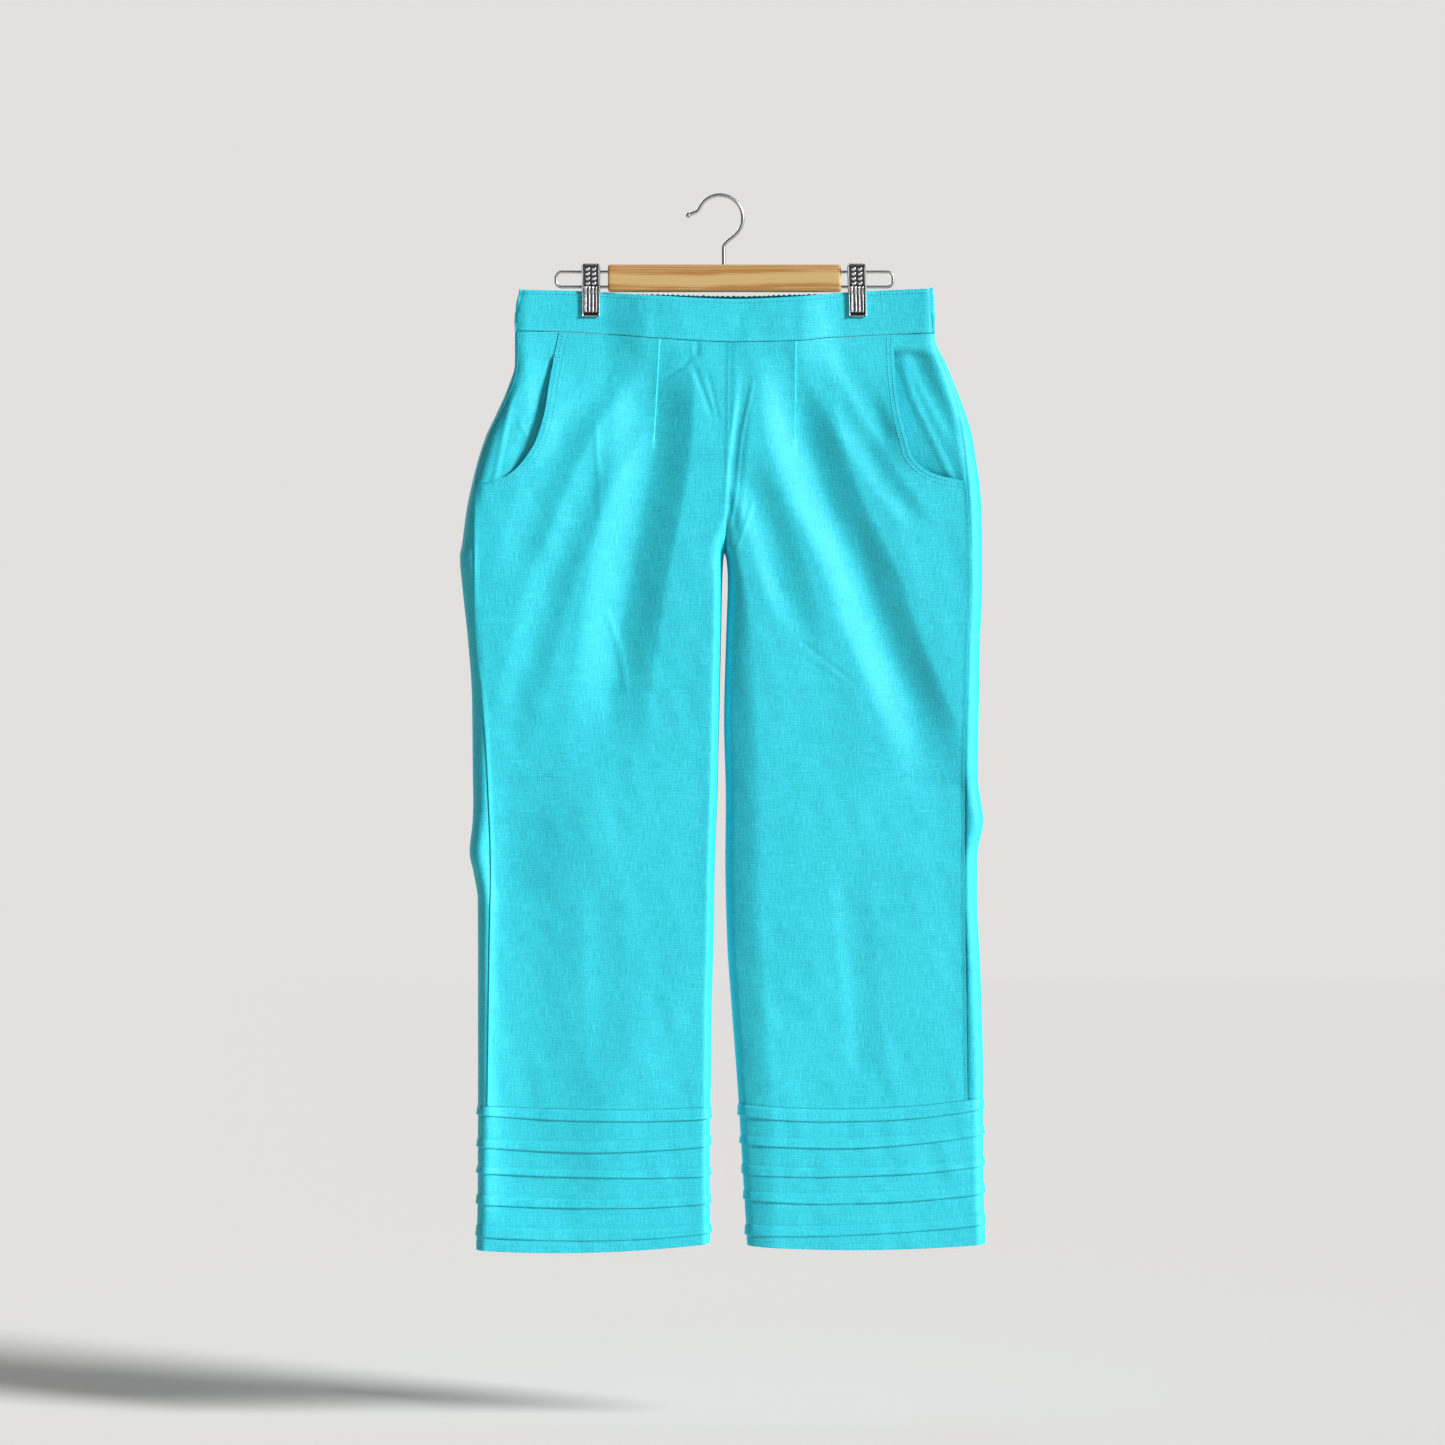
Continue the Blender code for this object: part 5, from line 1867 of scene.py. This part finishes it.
@dataclass
class Hanger:
    """The wood bar, the wire hook and the two wires that the clips slide on."""

    pine: bpy.types.Material
    zinc: bpy.types.Material
    bar_round: float = 2.4
    round_steps: int = 6

    def bar(self) -> bpy.types.Object:
        """Builds the bar, with rounded edges and ends."""
        half_y, half_z = BAR_THICK / 2, (BAR_TOP - BAR_BOTTOM) / 2
        middle_z = (BAR_TOP + BAR_BOTTOM) / 2
        turns = np.linspace(0, np.pi / 2, self.round_steps + 1)
        insets = [(self.bar_round * (1 - math.cos(t)), self.bar_round * (1 - math.sin(t))) for t in turns]
        stations = [(BAR_LEFT + inwards, inset) for inwards, inset in insets]
        stations += [(x, 0.0) for x in np.linspace(BAR_LEFT + 8, BAR_RIGHT - 8, 40)]
        stations += [(BAR_RIGHT - inwards, inset) for inwards, inset in reversed(insets)]
        rings = []
        for x, inset in stations:
            ring = []
            for corner, (sy, sz) in enumerate(((1, 1), (-1, 1), (-1, -1), (1, -1))):
                centre_y = sy * (half_y - self.bar_round)
                centre_z = middle_z + sz * (half_z - self.bar_round)
                shrunk = self.bar_round - inset
                for t in np.linspace(0, np.pi / 2, self.round_steps + 1):
                    angle = corner * np.pi / 2 + t
                    ring.append((x, centre_y + shrunk * math.cos(angle), centre_z + shrunk * math.sin(angle)))
            rings.append(ring)
        points = np.array(rings)
        rows, columns = points.shape[:2]
        faces = grid_faces(rows, columns, 0, True).tolist()
        faces += [list(range(columns)), list(range((rows - 1) * columns, rows * columns))]
        thing = add_object("bar", solid_mesh("bar", points, faces, 50), self.pine)
        return finished(thing, Slot.WOOD, "hanger_bar")

    def hook(self) -> bpy.types.Object:
        """Builds the hook, from its stem in the bar to the ball at its tip."""
        turn = np.radians(np.linspace(-50, 158, 14))
        middle = HOOK_WIRE - HOOK_RADIUS
        bend = [(HOOK_RADIUS * math.cos(a), middle + HOOK_RADIUS * math.sin(a)) for a in turn]
        neck = [
            (STEM_AT, STEM_END), (STEM_AT, -66), (STEM_AT, STEM_TOP),
            (STEM_AT + 0.9, STEM_TOP + 2.4), (STEM_AT + 4, STEM_TOP + 6),
        ]
        last, tip = np.array(bend[-1]), np.array(HOOK_TIP)
        flare = last + 0.35 * (tip - last) + (0.6, -0.7)
        route = through([*neck, *bend, tuple(flare), HOOK_TIP], 1.2)
        forward = (tip - flare) / np.linalg.norm(tip - flare)
        angles = np.radians(np.linspace(45, 177, 12))
        ball = tip - forward * HOOK_BALL * np.cos(angles)[:, None] + forward * 0.6
        radii = np.concatenate([np.full(len(route), HOOK_WIRE), HOOK_BALL * np.sin(angles)])
        thing = add_object("hook", tube_mesh("hook", np.vstack([route, ball]), radii, 20), self.zinc)
        return finished(thing, Slot.WIRE, "hanger_hook")

    def clip_wire(self, side: Side) -> bpy.types.Object:
        """Builds a U of wire, on which a clip slides."""
        out = side.value
        end = (BAR_LEFT if side is Side.LEFT else BAR_RIGHT) - out * WIRE_IN_BAR
        corner = WIRE_REACH[side] - out * WIRE_CORNER
        turn = np.linspace(0, np.pi / 2, 9)
        top = np.stack([
            corner + out * WIRE_CORNER * np.sin(turn), WIRE_UPPER - WIRE_CORNER + WIRE_CORNER * np.cos(turn)
        ], axis=-1)
        low = np.stack([
            corner + out * WIRE_CORNER * np.cos(turn), WIRE_LOWER + WIRE_CORNER - WIRE_CORNER * np.sin(turn)
        ], axis=-1)
        level = np.linspace(end, corner, 30)[:-1]
        upper_run = np.stack([level, np.full(29, WIRE_UPPER)], axis=-1)
        lower_run = np.stack([level[::-1], np.full(29, WIRE_LOWER)], axis=-1)
        route = np.vstack([upper_run, top, low, lower_run])
        name = f"clip_wire_{side.word}"
        mesh = tube_mesh(f"{name}_bent", route, np.full(len(route), WIRE))
        return finished(add_object(f"{name}_bent", mesh, self.zinc), Slot.WIRE, name)

    def make(self) -> None:
        """Builds the hanger's pieces."""
        self.bar()
        self.hook()
        for side in Side:
            self.clip_wire(side)


class PlateRow(NamedTuple):
    """How far a plate's inner face stands from the middle at a height."""

    height: float
    stands: float


CLIP_PLATE = [
    PlateRow(*row)
    for row in (
        (-66.4, 8.4),
        (-68.4, 8.2),
        (-79, 5.2),
        (-85, 3.7),
        (-88.2, 3.2),
        (-92, 3.1),
        (-96, GRIP_HALF + SEAM_GAP),
        (-115.4, GRIP_HALF + SEAM_GAP),
        (-117.6, 3.3),
    )
]


def mark_raised(mesh: bpy.types.Mesh, raised: Grid) -> None:
    """Stores how far each point is pressed out, by which the finish paints shade into the hollows."""
    attribute = mesh.attributes.new("raised", "FLOAT", "POINT")
    attribute.data.foreach_set("value", raised.astype(np.float32))


@dataclass
class Clip:
    """A pressed metal clip: a front and a back plate that rock on a sleeve."""

    side: Side
    chrome: bpy.types.Material
    width: float = 17.6
    metal: float = 0.9
    rim: float = 1.5
    rim_width: float = 1.5
    lean: float = 0.0

    def relief(self, across: Grid, height: Grid) -> Grid:
        """Returns how far the pressing raises the plate: its rims, its bosses and its ribs."""
        half = self.width / 2
        edge = np.abs(across) - (half - self.rim_width)
        rims = self.rim * np.sqrt(np.clip(1 - ((edge - 0.75) / 0.8) ** 2, 0, 1))
        inside = ease((half - self.rim_width - 0.6 - np.abs(across)) / 0.8)
        bosses = np.zeros_like(across)
        for row in range(4):
            for column in (-1, 1):
                from_x = (across - column * 3.1) / 2.3
                from_z = (height + 71.6 + 4.5 * row) / 1.75
                bosses = np.maximum(bosses, np.sqrt(np.clip(1 - from_x**2 - from_z**2, 0, 1)))
        rib = np.clip(np.cos(2 * np.pi * across / 3.5 + np.pi) * 0.5 + 0.5, 0, 1) ** 0.8
        along_rib = ease((-87.6 - height) / 1.2) * ease((height + 113.4 + 0.5 * rib) / 1.2)
        ribs = 1.15 * rib * along_rib * (np.abs(across) < 7.0)
        lip = 0.8 * np.exp(-(((height + 116.8) / 0.7) ** 2)) + 0.5 * np.exp(-(((height + 67.2) / 0.5) ** 2))
        return np.maximum(rims, inside * (0.85 * bosses + ribs)) + lip * inside

    def plate(self, front: bool) -> bpy.types.Object:
        """Builds a plate, pressed from sheet metal."""
        facing = -1 if front else 1
        half = self.width / 2
        heights = np.linspace(CLIP_PLATE[-1].height, CLIP_PLATE[0].height, 150)[:, None]
        across = np.linspace(-half, half, 68)[None, :]
        stands = read(CLIP_PLATE, "stands", heights) + 0 * across
        corner = 1.6
        from_end = np.minimum(heights - CLIP_PLATE[-1].height, CLIP_PLATE[0].height - heights)
        inset = corner - np.sqrt(np.clip(corner**2 - np.clip(corner - from_end, 0, corner) ** 2, 0, None))
        narrowed = across * (half - inset) / half
        raised = self.relief(narrowed, heights + 0 * across)
        x = CLIP_AT[self.side] + narrowed + self.lean * (heights + 92) + 0 * across
        outer = np.stack([x, facing * (stands + self.metal + raised), heights + 0 * across], axis=-1)
        inner = np.stack([x, facing * stands, heights + 0 * across], axis=-1)
        rows, columns = outer.shape[:2]
        start = rows * columns
        faces = [grid_faces(rows, columns, 0, False), grid_faces(rows, columns, start, False)]
        level = np.arange(columns - 1)
        upright = np.arange(rows - 1) * columns
        for a, b in (
            (level, level + 1), (start - columns + level, start - columns + level + 1),
            (upright, upright + columns), (upright + columns - 1, upright + 2 * columns - 1),
        ):
            faces.append(np.stack([a, b, b + start, a + start], axis=-1))
        points = np.concatenate([outer.reshape(-1, 3), inner.reshape(-1, 3)])
        word = "front" if front else "back"
        name = f"clip_{self.side.word}_{word}_plate"
        mesh = solid_mesh(name, points, np.concatenate(faces).tolist(), 60)
        mark_raised(mesh, np.concatenate([raised.ravel(), raised.ravel()]))
        node = f"clip_{word}_plate_{self.side.word}"
        return finished(add_object(name, mesh, self.chrome), Slot.CHROME, node)

    def sleeve(self) -> bpy.types.Object:
        """Builds the rolled sleeve on the lower wire, on which the plates rock."""
        turn = np.linspace(0, 2 * np.pi, 32, endpoint=False)
        profile = (
            (-6.0, 2.5), (-5.7, 2.85), (-2.0, 2.85), (-1.7, 2.65), (1.7, 2.65), (2.0, 2.85),
            (5.7, 2.85), (6.0, 2.5), (6.0, 1.8), (-6.0, 1.8),
        )
        points = np.array([
            [(CLIP_AT[self.side] + x, r * math.cos(t), WIRE_LOWER + r * math.sin(t)) for t in turn]
            for x, r in profile
        ])
        rows, columns = points.shape[:2]
        faces = grid_faces(rows + 1, columns, 0, True) % (rows * columns)
        name = f"clip_{self.side.word}_sleeve"
        mesh = solid_mesh(name, points, faces.tolist(), 30)
        # An even 0.5 gives the whole sleeve part of the painted shade that the finish puts in the pressings'
        # hollows.
        mark_raised(mesh, np.full(rows * columns, 0.5))
        return finished(add_object(name, mesh, self.chrome), Slot.CHROME, f"clip_sleeve_{self.side.word}")

    def make(self) -> None:
        """Builds the clip's pieces."""
        self.plate(True)
        self.plate(False)
        self.sleeve()


# Studio

@dataclass
class Studio:
    """A plain pale floor, soft light from the upper right, and the camera."""

    floor_height: float = -1.215
    floor_size: float = 14.0
    pale: tuple[float, float, float] = (0.80, 0.79, 0.77)
    world_light: float = 0.12
    backdrop_light: float = 0.95
    distance: float = 4.0
    picture_width: float = 1.4161
    aim: tuple[float, float] = (0.00245, -0.515)
    sensor: float = 36.0

    def floor(self) -> None:
        """Lays the floor."""
        half = self.floor_size / 2
        mesh = bpy.data.meshes.new("floor")
        around = ((-half, -half), (half, -half), (half, half), (-half, half))
        corners = [(x, y, self.floor_height) for x, y in around]
        mesh.from_pydata(corners, [], [(0, 1, 2, 3)])
        graph = Graph("pale floor")
        material = graph.surface(Base_Color=(*self.pale, 1), Roughness=0.9)
        add_object("floor", mesh, material)

    def light(self, name: str, towards: tuple[float, float, float], soft: float, power: float) -> None:
        """Hangs a far soft light.

        Args:
            name: its name.
            towards: the direction from the trousers to it.
            soft: how wide it is, in degrees.
            power: its power in watts on a square metre.
        """
        lamp = bpy.data.lights.new(name, "SUN")
        lamp.angle, lamp.energy = math.radians(soft), power
        thing = bpy.data.objects.new(name, lamp)
        thing.location = towards
        thing.rotation_euler = (-Vector(towards)).to_track_quat("-Z", "Y").to_euler()
        bpy.context.scene.collection.objects.link(thing)

    def camera(self) -> None:
        """Sets the camera square to the front."""
        data = bpy.data.cameras.new("camera")
        data.sensor_width = self.sensor
        data.lens = self.sensor * self.distance / self.picture_width
        thing = bpy.data.objects.new("camera", data)
        thing.location = (self.aim[0], -self.distance, self.aim[1])
        thing.rotation_euler = (math.pi / 2, 0, 0)
        bpy.context.scene.collection.objects.link(thing)
        bpy.context.scene.camera = thing

    def make(self) -> None:
        """Sets up the studio."""
        self.camera()
        self.floor()
        world = bpy.data.worlds.new("pale studio")
        world.use_nodes = True
        tree = world.node_tree
        lighting = tree.nodes["Background"]
        backdrop = tree.nodes.new("ShaderNodeBackground")
        for shader, strength in ((lighting, self.world_light), (backdrop, self.backdrop_light)):
            shader.inputs["Color"].default_value = (*self.pale, 1)
            shader.inputs["Strength"].default_value = strength
        seen = tree.nodes.new("ShaderNodeLightPath").outputs["Is Camera Ray"]
        both = tree.nodes.new("ShaderNodeMixShader")
        tree.links.new(seen, both.inputs[0])
        tree.links.new(lighting.outputs[0], both.inputs[1])
        tree.links.new(backdrop.outputs[0], both.inputs[2])
        tree.links.new(both.outputs[0], tree.nodes["World Output"].inputs["Surface"])
        bpy.context.scene.world = world
        bpy.context.scene.view_settings.view_transform = "Standard"
        self.light("key", (0.82, -0.43, 0.40), 12, 5.2)
        self.light("back", (-0.5, 0.8, 0.5), 30, 1.2)


def main() -> None:
    """Builds the scene and reports each piece."""
    logging.basicConfig(level=logging.INFO, format="%(name)s: %(message)s")
    Studio().make()
    tailor = Tailor(Linen().material())
    thread = Thread().material()
    zinc = Metal("dull zinc wire", (0.56, 0.57, 0.58), (0.36, 0.37, 0.38), 0.36, 0.8, 0.25)
    Hanger(Pine().material(), zinc.material()).make()
    # pressed=True gives the clips painted shade in their grooves and hollows.
    plated = Metal(
        "bright plated sheet", (0.86, 0.86, 0.88), (0.55, 0.55, 0.57), 0.27, 0.4, 0.06, pressed=True
    )
    chrome = plated.material()
    for side in Side:
        Clip(side, chrome, lean=-0.028 if side is Side.RIGHT else 0.0).make()
    Waistband(Form(None), tailor, thread).make()
    for side in Side:
        Leg(side, Form(side), tailor, thread).make()


if __name__ == "__main__":
    main()
